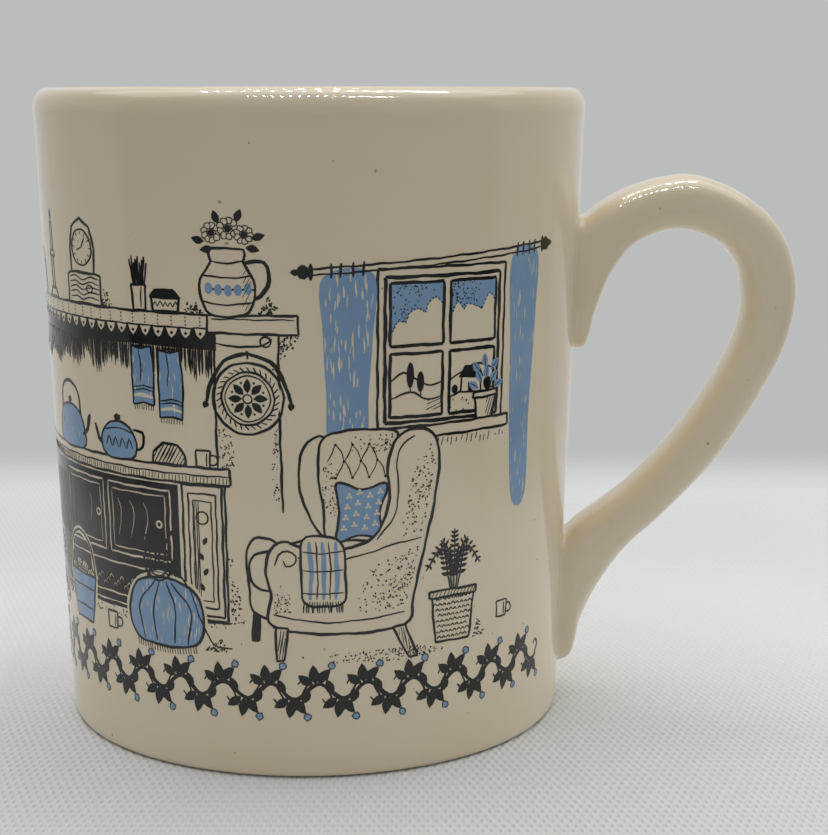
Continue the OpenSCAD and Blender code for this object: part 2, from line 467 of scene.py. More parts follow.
# ---------------------------------------------------------------- cup
def rim_edge(inset):
    """The lip over the wall's thickness. Its outside falls away over more height than its inside."""
    thick = WALL_T / 2 - inset
    centre = radius_at(CUP_H, WALL_T / 2)
    lip = []
    for a in np.radians(np.linspace(0, 180, 49)):
        drop = RIM_DROP if a < math.pi / 2 else WALL_T / 2 + 0.4
        lip.append((centre + thick * math.cos(a), CUP_H - drop + (drop - inset) * math.sin(a)))
    return lip


def cup_outer_edge(inset, low_z):
    """Half section of the outer wall and the lip, from low_z up, drawn in by inset."""
    return [(radius_at(low_z, inset), low_z)] + [
        (radius_at(z, inset), z) for z in np.linspace(low_z + 0.6, CUP_H - RIM_DROP - 1.0, 40)
    ] + rim_edge(inset)


def cup_inner_edge(inset):
    """Half section of the inner wall and the floor, down from the lip, moved into the clay by inset."""
    centre_z = FLOOR_Z + INNER_ROUND
    centre_x = radius_at(centre_z, WALL_T) - INNER_ROUND
    wall = [(radius_at(z, WALL_T - inset), z) for z in np.linspace(CUP_H - 3.4, centre_z + 1, 40)]
    floor = [(r, FLOOR_Z - inset) for r in np.linspace(centre_x - 1, 0.0, 14)]
    return wall + arc(centre_x, centre_z, INNER_ROUND + inset, 0, -90, 24) + floor


def make_cup_glaze(material):
    """The glaze coat as a closed shell with a rolled lower edge above the foot."""
    ring_outer = FOOT_R - GLAZE_T - EDGE_ROUND
    low = EDGE_ROUND + 0.3
    lip = arc(ring_outer, EDGE_ROUND, EDGE_ROUND + GLAZE_T * 0.4, -52, -48, 1)
    lip += arc(ring_outer, EDGE_ROUND, EDGE_ROUND + GLAZE_T, -44, -4, 12)
    coat = lip + cup_outer_edge(0.0, low) + cup_inner_edge(0.0)
    clay = arc(ring_outer, EDGE_ROUND, EDGE_ROUND, -52, -4, 12)
    clay += cup_outer_edge(GLAZE_T, low) + cup_inner_edge(GLAZE_T)
    cup = revolve("cup_glaze_coat", coat + clay[::-1])
    roof = RECESS_H
    edge_r = FOOT_R - GLAZE_T - EDGE_ROUND - FOOT_RING_W - 1.3
    disc = revolve("recess_glaze_coat", [
        (0, roof + GLAZE_T), (edge_r, roof + GLAZE_T), (edge_r - 0.1, roof + 0.08),
        (edge_r - 0.4, roof), (0, roof)])
    for obj in (cup, disc):
        add_piece(obj, material, "glaze", "cup_glaze")


def make_cup_clay(material):
    """The clay cup under the glaze, which shows only at its bare foot ring."""
    ring_outer = FOOT_R - GLAZE_T - EDGE_ROUND
    ring_inner = ring_outer - FOOT_RING_W
    roof = RECESS_H + GLAZE_T
    foot = [(0, roof), (ring_inner - 1.0, roof), (ring_inner - 0.6, roof - 0.3)]
    foot += [(ring_inner - 0.15, 0.25), (ring_inner + 0.15, 0.04), (ring_inner + 0.4, 0.0)]
    foot += [(r, 0.0) for r in np.linspace(ring_inner + 0.9, ring_outer - 0.4, 5)]
    foot += arc(ring_outer, EDGE_ROUND, EDGE_ROUND, -90, -8, 14)
    clay = revolve("cup_clay", foot + cup_outer_edge(GLAZE_T, EDGE_ROUND + 0.1)
                   + cup_inner_edge(GLAZE_T))
    add_piece(clay, material, "clay", "cup_body")


# ---------------------------------------------------------------- handle
AROUND = 96
PER_SPAN = 14
FILLET_STEPS = 9
LEVEL_STEPS = 10
SEAT_DEPTH = 0.6
SKIRT_DEPTH = 0.06


def spline(points, t):
    """Smooth curve through the points, at t in whole and part steps."""
    i = min(int(t), len(points) - 2)
    u = t - i
    a, b, c, d = (points[max(0, min(len(points) - 1, k))] for k in (i - 1, i, i + 1, i + 2))
    return 0.5 * (2 * b + (c - a) * u + (2 * a - 5 * b + 4 * c - d) * u * u
                  + (3 * b - a - 3 * c + d) * u ** 3)


def handle_section(station, inset, tail):
    """A ring round the handle: squarish, round at the root's tail, and as full as the grip at its
    other end. The tail is on the outer side when tail is 1 and on the inner side when it is -1."""
    outer, inner = station[:2], station[2:4]
    middle, reach = (outer + inner) / 2, (outer - inner) / 2
    length = np.linalg.norm(reach)
    half_w = (GRIP_W + ROOT_EXTRA_W * station[4]) / 2 - inset
    turn = np.linspace(0, 2 * math.pi, AROUND, endpoint=False)
    out, side = np.cos(turn), np.sin(turn)
    full = SECTION_POWER * min(1.0, GRIP_REACH / length) ** 0.6
    power = np.where(out * tail > 0, SECTION_POWER + (TAIL_POWER - SECTION_POWER) * station[4], full)
    out = np.sign(out) * np.abs(out) ** power * (1 - inset / length)
    side = np.sign(side) * np.abs(side) ** power
    return np.stack([middle[0] + reach[0] * out, side * half_w, middle[1] + reach[1] * out], 1)


def wall_gap(points):
    """How far points stand out from the cup's outer wall."""
    return np.hypot(points[..., 0], points[..., 1]) - radius_at(points[..., 2])


def on_wall(angle, z, out):
    """Points on the cup's outer wall, moved out by out."""
    r = radius_at(z) + out
    return np.stack([r * np.cos(angle), r * np.sin(angle), z], -1)


def root_feet(lines):
    """Where each line leaves the wall, the same points on the unrolled wall, and the directions
    that point away from the root there."""
    feet = []
    for line in lines:
        gap = wall_gap(line)
        k = int(np.argmax(gap > 0))
        share = gap[k - 1] / (gap[k - 1] - gap[k])
        feet.append(line[k - 1] + share * (line[k] - line[k - 1]))
    feet = np.array(feet)
    flat = np.stack([np.arctan2(feet[:, 1], feet[:, 0]) * radius_at(feet[:, 2]), feet[:, 2]], 1)
    tangent = np.roll(flat, -1, 0) - np.roll(flat, 1, 0)
    normal = np.stack([tangent[:, 1], -tangent[:, 0]], 1)
    normal /= np.linalg.norm(normal, axis=1)[:, None]
    if ((flat - flat.mean(0)) * normal).sum() < 0:
        normal = -normal
    return feet, flat, normal


def root_fillet(normal):
    """Hollow curve size by the direction around the root: small under the tail, larger beside."""
    return 0.45 + 0.5 * (1 + normal[1]) / 2 + 0.3 * abs(normal[0])


def seat_root(lines):
    """The rings of one root. lines[k] is its k-th lengthwise line, from inside the wall outwards.
    Each line is cut where it nears the wall and turned into it along a hollow curve."""
    feet, flat, normal = root_feet(lines)
    rings, cuts = [], []
    size = np.asarray([root_fillet(n) for n in normal])
    skirt = flat + normal * size[:, None]
    ends = on_wall(skirt[:, 0] / radius_at(skirt[:, 1]), skirt[:, 1], -0.01)
    for k, line in enumerate(lines):
        far = np.linalg.norm(line - feet[k], axis=1)
        beyond = (wall_gap(line) > 0) & (far > size[k])
        cuts.append(int(np.argmax(beyond)))
    first = max(cuts)
    starts = np.array([line[c] for line, c in zip(lines, cuts)])
    under = skirt + 0.4 * normal
    for depth in (SEAT_DEPTH, SKIRT_DEPTH):
        rings.append(on_wall(under[:, 0] / radius_at(under[:, 1]), under[:, 1], -depth))
    for s in np.linspace(0, 1, FILLET_STEPS + 1)[:, None]:
        rings.append((1 - s) ** 2 * ends + 2 * s * (1 - s) * feet + s * s * starts)
    for j in range(1, LEVEL_STEPS + 1):
        ring = []
        for line, c in zip(lines, cuts):
            at = c + (first + 1 - c) * j / LEVEL_STEPS
            low = int(at)
            ring.append(line[low] + (at - low) * (line[min(low + 1, len(line) - 1)] - line[low]))
        rings.append(np.array(ring))
    return rings, first + 1


def handle_rings(inset=0.0):
    """The rings of the whole handle, from inside the wall at one root to inside it at the other."""
    last = len(STATIONS) - 1
    return np.array([handle_section(spline(STATIONS, t), inset, 1 if t > last / 2 else -1)
                     for t in np.linspace(0, last, last * PER_SPAN + 1)])


def loft(name, rings, material, slot, *replaced):
    """A closed solid through rings of AROUND points each."""
    points = [tuple(p) for ring in rings for p in ring]
    faces = []
    for k in range(len(rings) - 1):
        for i in range(AROUND):
            j = (i + 1) % AROUND
            faces.append((k * AROUND + i, k * AROUND + j, (k + 1) * AROUND + j, (k + 1) * AROUND + i))
    for first in (0, (len(rings) - 1) * AROUND):
        centre = len(points)
        points.append(tuple(np.mean(points[first:first + AROUND], axis=0)))
        faces += [(first + (i + 1) % AROUND, first + i, centre) for i in range(AROUND)]
    solid = make_object(name, points, faces)
    face_outwards(solid)
    add_piece(solid, material, slot, *replaced)


def make_handle(glaze, clay):
    """The clay handle, and its coat, whose roots run into the wall through small hollow curves."""
    loft("handle_clay", handle_rings(GLAZE_T)[PER_SPAN // 2:-PER_SPAN // 2], clay, "clay", "handle")
    rings = handle_rings()
    lines = rings.transpose(1, 0, 2)
    upper, start = seat_root(lines)
    lower, end = seat_root(lines[:, ::-1])
    middle = list(rings[start + 1:len(rings) - end - 1])
    loft("handle_glaze_coat", upper + middle + lower[::-1], glaze, "glaze", "handle_glaze")


# ---------------------------------------------------------------- transfer print: drawing kit
PAPER, BLUE, BLACK = 0, 1, 2
ROUND_MM = 39.6
STEP = 0.75
LINE = 0.36
FINE = 0.22
INK_PROUD = 0.035
INK_SUNK = 0.05
FACET = 2.2
PRINT_SHIFT = 1.1


def curved(points, closed=False, step=STEP):
    """Points along a smooth curve through the given ones."""
    p = np.array(points, float)
    if closed:
        p = np.vstack([p[-1], p, p[0], p[1]])
    else:
        p = np.vstack([2 * p[0] - p[1], p, 2 * p[-1] - p[-2]])
    out = []
    for a, b, c, d in zip(p, p[1:], p[2:], p[3:]):
        count = max(2, int(round(np.linalg.norm(c - b) / step)))
        for u in np.arange(count) / count:
            out.append(0.5 * (2 * b + (c - a) * u + (2 * a - 5 * b + 4 * c - d) * u * u
                              + (3 * b - a - 3 * c + d) * u ** 3))
    if not closed:
        out.append(p[-2])
    return np.array(out)


def straight(points, step=STEP):
    """Points along straight lines through the given ones."""
    p = np.array(points, float)
    out = [p[0]]
    for a, b in zip(p, p[1:]):
        count = max(1, int(round(np.linalg.norm(b - a) / step)))
        out += [a + (b - a) * k / count for k in range(1, count + 1)]
    return np.array(out)


def box(x0, z0, x1, z1):
    """The corners of a rectangle."""
    return [(x0, z0), (x1, z0), (x1, z1), (x0, z1)]


def oval(cx, cz, rx, rz=None, count=16):
    """Points round an oval, the first of them given again at the end."""
    rz = rx if rz is None else rz
    turn = np.radians(np.linspace(0, 360, count + 1))
    return [(cx + rx * math.cos(t), cz + rz * math.sin(t)) for t in turn]


def around(x, z, r, turn):
    """The point at distance r from (x, z), in the direction turn."""
    return x + r * math.cos(turn), z + r * math.sin(turn)


def inside(points, x, z):
    """Whether (x, z) lies in the polygon."""
    odd = False
    for (x0, z0), (x1, z1) in zip(points, list(points[1:]) + [points[0]]):
        if (z0 > z) != (z1 > z) and x < x0 + (z - z0) * (x1 - x0) / (z1 - z0):
            odd = not odd
    return odd


class Canvas:
    """Ink on the unrolled wall: x in mm round it, z in mm up it, later shapes over earlier ones."""

    def __init__(self, seed):
        self.rng = random.Random(seed)
        self.points, self.faces, self.inks = [], [], []

    def fill(self, ink, points):
        points = [tuple(p) for p in points]
        if points[0] == points[-1]:
            points = points[:-1]
        area = sum(a[0] * b[1] - b[0] * a[1] for a, b in zip(points, points[1:] + points[:1]))
        if abs(area) < 1e-4:
            return
        if area < 0:
            points = points[::-1]
        first = len(self.points)
        self.points += points
        self.faces.append(list(range(first, len(self.points))))
        self.inks.append(ink)

    def pen(self, path, width=LINE, ink=BLACK, wobble=0.05, ends=0.6):
        """A pen line along dense points, a little unsteady, thinner at its ends."""
        path = np.asarray(path, float)
        run = np.gradient(path, axis=0)
        run /= np.linalg.norm(run, axis=1)[:, None] + 1e-9
        across = np.stack([-run[:, 1], run[:, 0]], 1)
        s = np.concatenate([[0], np.cumsum(np.linalg.norm(np.diff(path, axis=0), axis=1))])
        a, b, c = (self.rng.uniform(0, 6.3) for _ in range(3))
        path = path + across * (wobble * (np.sin(1.1 * s + a) + 0.6 * np.sin(2.7 * s + b)))[:, None]
        near_end = np.clip(np.minimum(s, s[-1] - s) / 0.8, 0, 1)
        half = width / 2 * (1 + 0.16 * np.sin(0.9 * s + c)) * (ends + (1 - ends) * near_end)
        left, right = path + across * half[:, None], path - across * half[:, None]
        for k in range(len(path) - 1):
            self.fill(ink, [right[k], right[k + 1], left[k + 1], left[k]])

    def line(self, points, width=LINE, ink=BLACK, **more):
        self.pen(straight(points), width, ink, **more)

    def curve(self, points, width=LINE, ink=BLACK, **more):
        self.pen(curved(points), width, ink, **more)

    def shape(self, points, ink=PAPER, width=LINE, smooth=False):
        """A filled outline; its straight sides are drawn one by one, as by hand."""
        if smooth:
            path = curved(points, closed=True)
            self.fill(ink, path)
            self.trace(path, width)
            return
        self.fill(ink, points)
        self.sides(points, width, ends=0.9)

    def trace(self, path, width=LINE, ink=BLACK):
        """A pen line of even width all along a closed path."""
        self.pen(np.vstack([path, path[:1]]), width, ink, ends=1.0)

    def sides(self, points, width, ink=BLACK, ends=0.6):
        """The straight sides of an outline, drawn one by one."""
        for a, b in zip(points, list(points[1:]) + [points[0]]):
            self.line([a, b], width, ink, ends=ends)

    def dot(self, x, z, rx, rz=None, ink=BLACK, count=16):
        """A filled spot."""
        self.fill(ink, oval(x, z, rx, rz, count))

    def ring(self, x, z, rx, rz=None, ink=PAPER, width=LINE, count=16):
        """A filled oval with a smooth line round it."""
        self.shape(oval(x, z, rx, rz, count), ink, width, smooth=True)

    def hatch(self, points, angle, gap, width=FINE, ink=BLACK, ragged=0.0):
        """Parallel strokes clipped to a polygon."""
        turn = math.radians(angle)
        along, up = np.array([math.cos(turn), math.sin(turn)]), np.array([-math.sin(turn), math.cos(turn)])
        p = np.array(points, float)
        u, v = p @ along, p @ up
        level = v.min() + gap * self.rng.uniform(0.3, 0.7)
        while level < v.max():
            hits = []
            for k in range(len(p)):
                m = (k + 1) % len(p)
                if (v[k] > level) != (v[m] > level):
                    hits.append(u[k] + (level - v[k]) * (u[m] - u[k]) / (v[m] - v[k]))
            hits.sort()
            for start, end in zip(hits[::2], hits[1::2]):
                start += ragged * self.rng.random()
                end -= ragged * self.rng.random()
                if end - start > 0.3:
                    a, b = along * start + up * level, along * end + up * level
                    self.pen(straight([a, b], 2.0), width, ink, wobble=0.04, ends=0.5)
            level += gap * self.rng.uniform(0.8, 1.2)

    def dots(self, points, count, size=0.16, ink=BLACK, lean=None):
        """Stipple in a polygon, thicker towards the point lean."""
        p = np.array(points, float)
        low, high = p.min(0), p.max(0)
        reach = np.linalg.norm(high - low)
        done = 0
        for _ in range(count * 12):
            x, z = (self.rng.uniform(low[k], high[k]) for k in (0, 1))
            if done == count:
                break
            if lean and self.rng.random() < math.hypot(x - lean[0], z - lean[1]) / reach * 1.4:
                continue
            if inside(points, x, z):
                r = size * self.rng.uniform(0.7, 1.25)
                self.dot(x, z, r, ink=ink, count=6)
                done += 1

    def flecks(self, points, count, length=1.3, ink=PAPER):
        """Short upright brush gaps, as in a dry wash."""
        p = np.array(points, float)
        low, high = p.min(0), p.max(0)
        for _ in range(count):
            x, z = (self.rng.uniform(low[k], high[k]) for k in (0, 1))
            tall = length * self.rng.uniform(0.4, 1.2)
            if inside(points, x, z) and inside(points, x, z + tall):
                lean = self.rng.uniform(-0.12, 0.12)
                self.pen(straight([(x, z), (x + lean, z + tall)], 0.5),
                         self.rng.uniform(0.15, 0.3), ink, ends=0.4)

    def leaf(self, x, z, length, angle, ink=BLACK, fat=0.32):
        turn = math.radians(angle)
        c, s = math.cos(turn), math.sin(turn)
        side = [(0, 0), (0.25, fat * 0.75), (0.5, fat), (0.78, fat * 0.6), (1, 0),
                (0.78, -fat * 0.5), (0.5, -fat * 0.8), (0.25, -fat * 0.6)]
        self.fill(ink, [(x + length * (u * c - v * s), z + length * (u * s + v * c)) for u, v in side])


def cut_canvas(canvas):
    """Points and the triangles of each ink, after later shapes have covered earlier ones."""
    p = np.array(canvas.points)
    points = [Vector(q) for q in canvas.points]
    edges = []
    low, high = p[:, 1].min() - 0.5, p[:, 1].max() + 0.5
    for x in np.arange(p[:, 0].min() + FACET / 2, p[:, 0].max(), FACET):
        edges.append((len(points), len(points) + 1))
        points += [Vector((x, low)), Vector((x, high))]
    out, _, tris, _, _, covers = delaunay_2d_cdt(points, edges, canvas.faces, 1, 1e-4)
    outlines = [[canvas.points[k] for k in face] for face in canvas.faces]
    boxes = [(np.min(line, 0), np.max(line, 0)) for line in outlines]
    by_ink = {BLUE: [], BLACK: []}
    for tri, over in zip(tris, covers):
        x, z = (sum(out[k][axis] for k in tri) / 3 for axis in (0, 1))
        for face in sorted(over, reverse=True):
            (x0, z0), (x1, z1) = boxes[face]
            if x0 <= x <= x1 and z0 <= z <= z1 and inside(outlines[face], x, z):
                if canvas.inks[face] != PAPER:
                    by_ink[canvas.inks[face]].append(tuple(tri))
                break
    return np.array([tuple(q) for q in out]), by_ink


def ink_shell(points, tris):
    """A thin closed skin over the wall: top, underside and edges."""
    used = sorted({v for t in tris for v in t})
    index = {v: k for k, v in enumerate(used)}
    flat = points[used]
    turn = (flat[:, 0] + PRINT_SHIFT) / ROUND_MM - math.pi / 2
    skins = []
    for out in (INK_PROUD, -INK_SUNK):
        r = radius_at(flat[:, 1]) + out
        skins.append(np.stack([r * np.cos(turn), r * np.sin(turn), flat[:, 1]], 1))
    count = len(used)
    top = [tuple(index[v] for v in t) for t in tris]
    borders = {}
    for t in top:
        for a, b in ((t[0], t[1]), (t[1], t[2]), (t[2], t[0])):
            borders[(a, b)] = True
    sides = [(b, a, a + count, b + count) for a, b in borders if (b, a) not in borders]
    under = [(t[2] + count, t[1] + count, t[0] + count) for t in top]
    return np.vstack(skins), top + under + sides


# ---------------------------------------------------------------- transfer print: front picture
def draw_window(c):
    """A window of four panes with a blue curtain on both sides of it."""
    rail = [(0.9 + 0.5 * k, 71.3 + 0.03 * k) for k in range(74)]
    left = curved([(2.4, 70.6), (9.0, 70.9), (8.9, 62), (8.4, 55), (7.9, 48.3), (3.2, 47.6), (2.7, 55),
                   (2.3, 63)], True)
    right = curved([(30.8, 72.2), (36.4, 72.6), (36.5, 64), (35.7, 50), (35.5, 37.9), (32.4, 37.3),
                    (31.3, 48), (30.9, 60)], True)
    c.shape(box(9.6, 49.9, 29.4, 71.6))
    c.shape(box(10.6, 50.6, 28.4, 70.4), width=0.5)
    panes = [box(x0, z0, x1, z1) for x0, x1 in ((11.3, 19.0), (20.1, 27.7))
             for z0, z1 in ((51.3, 60.0), (61.1, 69.6))]
    for pane in panes:
        c.shape(pane, width=0.42)
    draw_sky(c, 11.5, 18.8, 61.3, 69.4, 0.2)
    draw_sky(c, 20.3, 27.5, 61.3, 69.4, 0.75)
    draw_hills(c)
    for pane in panes:
        c.sides(pane, 0.42)
    c.shape([(8.8, 48.2), (30.8, 48.6), (30.8, 50.2), (8.8, 49.8)])
    c.hatch([(9.2, 46.6), (30.0, 46.9), (30.2, 48.3), (9.0, 48.0)], 78, 0.75, ragged=0.7)
    for wash in (left, right):
        c.fill(BLUE, wash)
        c.flecks(wash, 90, 1.9)
    c.pen([(x, z - 0.42) for x, z in rail], 0.26)
    c.pen([(x, z + 0.42) for x, z in rail], 0.3)
    for x in (3.4, 4.6, 6.3, 7.6, 31.7, 32.9, 34.3, 35.6):
        z = 71.25 + 0.06 * x
        c.line([(x, z - 1.0), (x + 0.1, z + 0.95)], 0.42)
    for x, side in ((0.8, -1), (37.6, 1)):
        z = 71.25 + 0.06 * x
        c.dot(x, z, 0.35, 1.15)
        c.shape(oval(x + 0.95 * side, z, 0.75, 0.8), BLACK)
        c.leaf(x + 1.4 * side, z, 1.3, 90 - 90 * side, fat=0.4)


def draw_sky(c, x0, x1, z0, z1, tall):
    """A pane of sky: blue wash over a bank of cloud, whose edge is stippled."""
    wide = x1 - x0
    c.fill(BLUE, box(x0, z0, x1, z1))
    puffs = [(x0, z0)] + [
        (x0 + wide * u, z0 + (z1 - z0) * h)
        for u, h in ((0.02, 0.12 + tall * 0.5), (0.13, 0.28 + tall * 0.5), (0.27, 0.30 + tall * 0.3),
                     (0.33, 0.46 + tall * 0.2), (0.5, 0.58), (0.66, 0.52), (0.70, 0.68 - tall * 0.2),
                     (0.86, 0.76), (0.99, 0.66))] + [(x1, z0)]
    cloud = np.vstack([puffs[:1], curved(puffs[1:-1], step=0.5), puffs[-1:]])
    c.fill(PAPER, cloud)
    for x, z in cloud[1:-1]:
        c.dot(x, z + 0.1, 0.13, count=6)
    sky = [(x0, z1)] + [tuple(q) for q in cloud[1:-1]] + [(x1, z1)]
    c.dots(sky, 55, 0.12, lean=(x0, z1))


def draw_hills(c):
    """Two lower panes: rounded hills, poplars, a barn and its hedge."""
    c.curve([(11.4, 56.2), (13.2, 57.4), (15.2, 56.4), (17.2, 55.4), (18.9, 55.9)], 0.26)
    c.curve([(11.4, 53.9), (14.2, 54.7), (16.6, 53.6), (18.9, 53.9)], 0.26)
    for x, z, h in ((14.2, 54.7, 4.0), (15.7, 54.2, 3.2)):
        c.dot(x, z + h * 0.58, 0.55, h * 0.45, count=12)
        c.line([(x, z), (x, z + 1)], 0.3)
    c.hatch([(16.6, 52.0), (18.8, 52.2), (18.8, 53.7), (16.8, 53.4)], 20, 0.5)
    c.curve([(20.2, 55.9), (22.2, 57.0), (24.6, 57.9), (27.6, 57.0)], 0.26)
    c.curve([(20.2, 53.6), (22.5, 54.2), (25.4, 53.8), (27.6, 54.4)], 0.26)
    c.shape([(22.0, 54.1), (25.4, 54.0), (25.4, 56.1), (22.0, 56.2)], width=0.26)
    c.fill(BLACK, [(21.6, 56.2), (22.6, 57.8), (25.0, 57.7), (25.9, 56.0)])
    c.fill(BLACK, box(23.2, 54.1, 24.0, 55.4))
    c.dot(26.6, 55.0, 0.75, 0.95, count=10)
    c.dot(21.0, 54.6, 0.5, 0.65, count=10)
    c.dots([(20.4, 51.6), (27.4, 51.6), (27.4, 53.6), (20.4, 53.2)], 26, 0.1)


def draw_sill_plant(c):
    """A potted plant on the sill."""
    c.shape([(24.8, 50.1), (27.6, 50.2), (28.1, 53.2), (24.4, 53.0)])
    c.shape([(24.1, 53.0), (28.4, 53.2), (28.3, 54.0), (24.2, 53.8)])
    c.hatch([(26.4, 50.3), (27.5, 50.3), (27.9, 52.9), (26.6, 52.9)], 70, 0.45)
    for x, z, a in ((25.0, 54.4, 150), (25.6, 55.2, 120), (26.4, 55.6, 88), (27.2, 55.0, 55),
                    (27.8, 54.3, 25), (25.2, 56.6, 130), (27.3, 56.8, 50), (26.2, 57.2, 95)):
        c.leaf(x, z, 2.0, a, BLUE)
        c.line([(x, z), around(x, z, 1.7, math.radians(a))], 0.16)


def draw_armchair(c):
    """A buttoned wing armchair with a cushion and a throw."""
    c.shape([(-7.7, 24.5), (-6.6, 24.6), (-7.0, 20.2), (-8.0, 20.1)], BLACK, 0.26)
    c.shape([(-7.6, 24.2), (-8.2, 28), (-8.6, 32.2), (-7.4, 34.8), (-5.2, 34.8), (-3.4, 34), (2, 34.5),
             (3, 27), (-2, 23.4)], smooth=True)
    c.shape([(2.4, 49.0), (0.2, 48.3), (-1.0, 45.6), (-0.9, 41.5), (0.2, 38.2), (2.2, 35.2), (4, 36),
             (3.4, 44)], smooth=True)
    c.shape([(12, 34.5), (11.6, 45), (12.4, 49.2), (8.6, 49.9), (4.4, 49.7), (2.1, 48.6), (1.5, 44.5),
             (2.2, 39), (2.9, 33.8), (7, 32)], smooth=True)
    c.dots([(2.2, 38), (4.5, 38), (4.0, 48), (2, 47.5)], 60, 0.11, lean=(2.2, 40))
    c.dots([(4, 46.8), (11.5, 46.8), (11.8, 49.2), (3.4, 49.1)], 50, 0.11, lean=(11.5, 47))
    for row in range(3):
        for k in range(4 - row % 2):
            x, z = 3.9 + 2.3 * k + 1.15 * (row % 2), 47.9 - 2.3 * row
            c.dot(x, z, 0.2, count=8)
            if k < 3 and row < 2:
                c.curve([(x, z), (x + 0.75, z - 1.0), (x + 1.15, z - 2.3)], 0.16)
                c.curve([(x, z), (x - 0.4, z - 1.0), (x - 1.15, z - 2.3)], 0.16)
    c.shape([(-8.2, 30.2), (-7.4, 32.4), (-3.4, 33.4), (2, 34.2), (8, 34.4), (12, 32), (10, 28),
             (2, 27.6), (-6.6, 27.6)], smooth=True)
    draw_cushion(c)
    side = [(-5.0, 22.4), (-5.2, 27), (-5.9, 30.4), (-5.2, 33.2), (-3.2, 34.5), (-1.2, 33.8), (3.5, 33.2),
            (8.2, 34.2), (10.6, 37), (11.4, 41), (11.1, 45), (12.4, 48.4), (14.9, 49.7), (17.6, 48.8),
            (18.8, 45.6), (18.1, 39), (16.5, 32), (15.1, 26), (13.9, 22.0), (4, 21.2)]
    c.shape(side, smooth=True, width=0.42)
    c.curve([(9.6, 34.4), (12.0, 37.4), (12.7, 41), (12.4, 45), (13.3, 47.6), (15.0, 48.7)], FINE)
    c.curve([(-4.6, 31.0), (-4.1, 32.6), (-2.8, 33.1), (-1.7, 32.4), (-1.9, 31.2), (-3.0, 30.9),
             (-3.4, 31.7)], 0.26)
    c.curve([(-4.9, 24.0), (2, 22.9), (9, 23.2), (13.8, 23.8)], FINE)
    c.curve([(-1.4, 32.2), (3.4, 31.6), (8.4, 32.6), (12.2, 33.6), (16.2, 34.2)], FINE)
    c.dots([(13.0, 34.6), (16.4, 34.6), (18.4, 45), (17.4, 48), (15.6, 47)], 130, 0.12, lean=(18.4, 40))
    c.dots([(6, 24), (13.9, 24.4), (16.0, 33), (9, 31.6)], 170, 0.12, lean=(15.5, 26))
    c.dots([(-4.8, 24.2), (-2.4, 24.2), (-2.8, 30.4), (-5.0, 30.0)], 40, 0.11, lean=(-5, 24))
    draw_throw(c)
    c.shape([(-4.6, 22.2), (-2.8, 22.0), (-3.5, 17.4), (-4.6, 17.4)])
    c.hatch([(-4.4, 17.6), (-3.6, 17.6), (-3.1, 21.8), (-4.3, 21.8)], 80, 0.4)
    c.shape([(12.0, 21.6), (13.9, 21.9), (15.8, 17.2), (14.6, 17.0)])
    c.hatch([(12.6, 21.3), (13.6, 21.6), (15.5, 17.4), (14.8, 17.2)], 100, 0.4)
    c.dots([(-5, 17.2), (14, 16.8), (20.5, 17.6), (16, 18.6), (2, 18.4)], 150, 0.12, lean=(16.5, 17.2))


def draw_cushion(c):
    """A blue cushion with pinched corners and a sprigged cover."""
    path = curved([(4.0, 34.4), (6.8, 35.2), (10.2, 34.9), (10.0, 38.2), (11.0, 42.2), (7.4, 41.6),
                   (4.0, 42.6), (4.4, 38.6)], True)
    c.fill(BLUE, path)
    c.trace(path)
    for k in range(4):
        for j in range(4):
            x, z = 5.0 + 1.45 * k + 0.25 * j, 36.2 + 1.5 * j + 0.5 * (k % 2)
            for turn in (90, 210, 330):
                c.leaf(x, z, 0.55, turn, PAPER, 0.4)


def draw_throw(c):
    """A striped throw over the chair's arm, with a fringe."""
    cloth = [(-0.8, 34.6), (1.6, 35.2), (4.6, 34.3), (5.2, 30), (5.0, 25.8), (2.2, 25.2), (-0.6, 25.9),
             (-0.9, 30)]
    c.shape(cloth, smooth=True)
    for k, x in enumerate((0.2, 1.1, 2.0, 2.9, 3.8)):
        wide, ink = ((0.62, BLUE), (0.2, BLACK))[k % 2]
        c.curve([(x, 34.4), (x + 0.25, 30), (x + 0.1, 26.2)], wide, ink)
    for z in (27.2, 30.4, 33.0):
        c.curve([(-0.7, z), (2.2, z - 0.25), (4.9, z)], 0.2)
    for k in range(16):
        x = -0.5 + 0.36 * k
        c.line([(x, 25.9), (x + c.rng.uniform(-0.2, 0.2), 24.3)], 0.2)


def draw_fern(c, x, z, spread, tall, ink=BLACK):
    """Arching fronds from one point, each with leaflets down both sides."""
    for k in range(5):
        side = (k - 2) / 2
        tip = (x + spread * side, z + tall * (1.0 - 0.62 * side * side))
        middle = (x + spread * 0.45 * side, z + tall * (0.62 + 0.08 * abs(side)))
        path = curved([(x + 0.5 * side, z), middle, tip], step=0.72)
        c.pen(path, 0.24, ink)
        for j in range(3, len(path) - 1):
            way = math.degrees(math.atan2(*(path[j + 1] - path[j - 1])[::-1]))
            size = 1.35 * (1 - 0.5 * j / len(path))
            c.leaf(path[j][0], path[j][1], size, way + 62, ink, 0.26)
            c.leaf(path[j][0], path[j][1], size, way - 62, ink, 0.26)


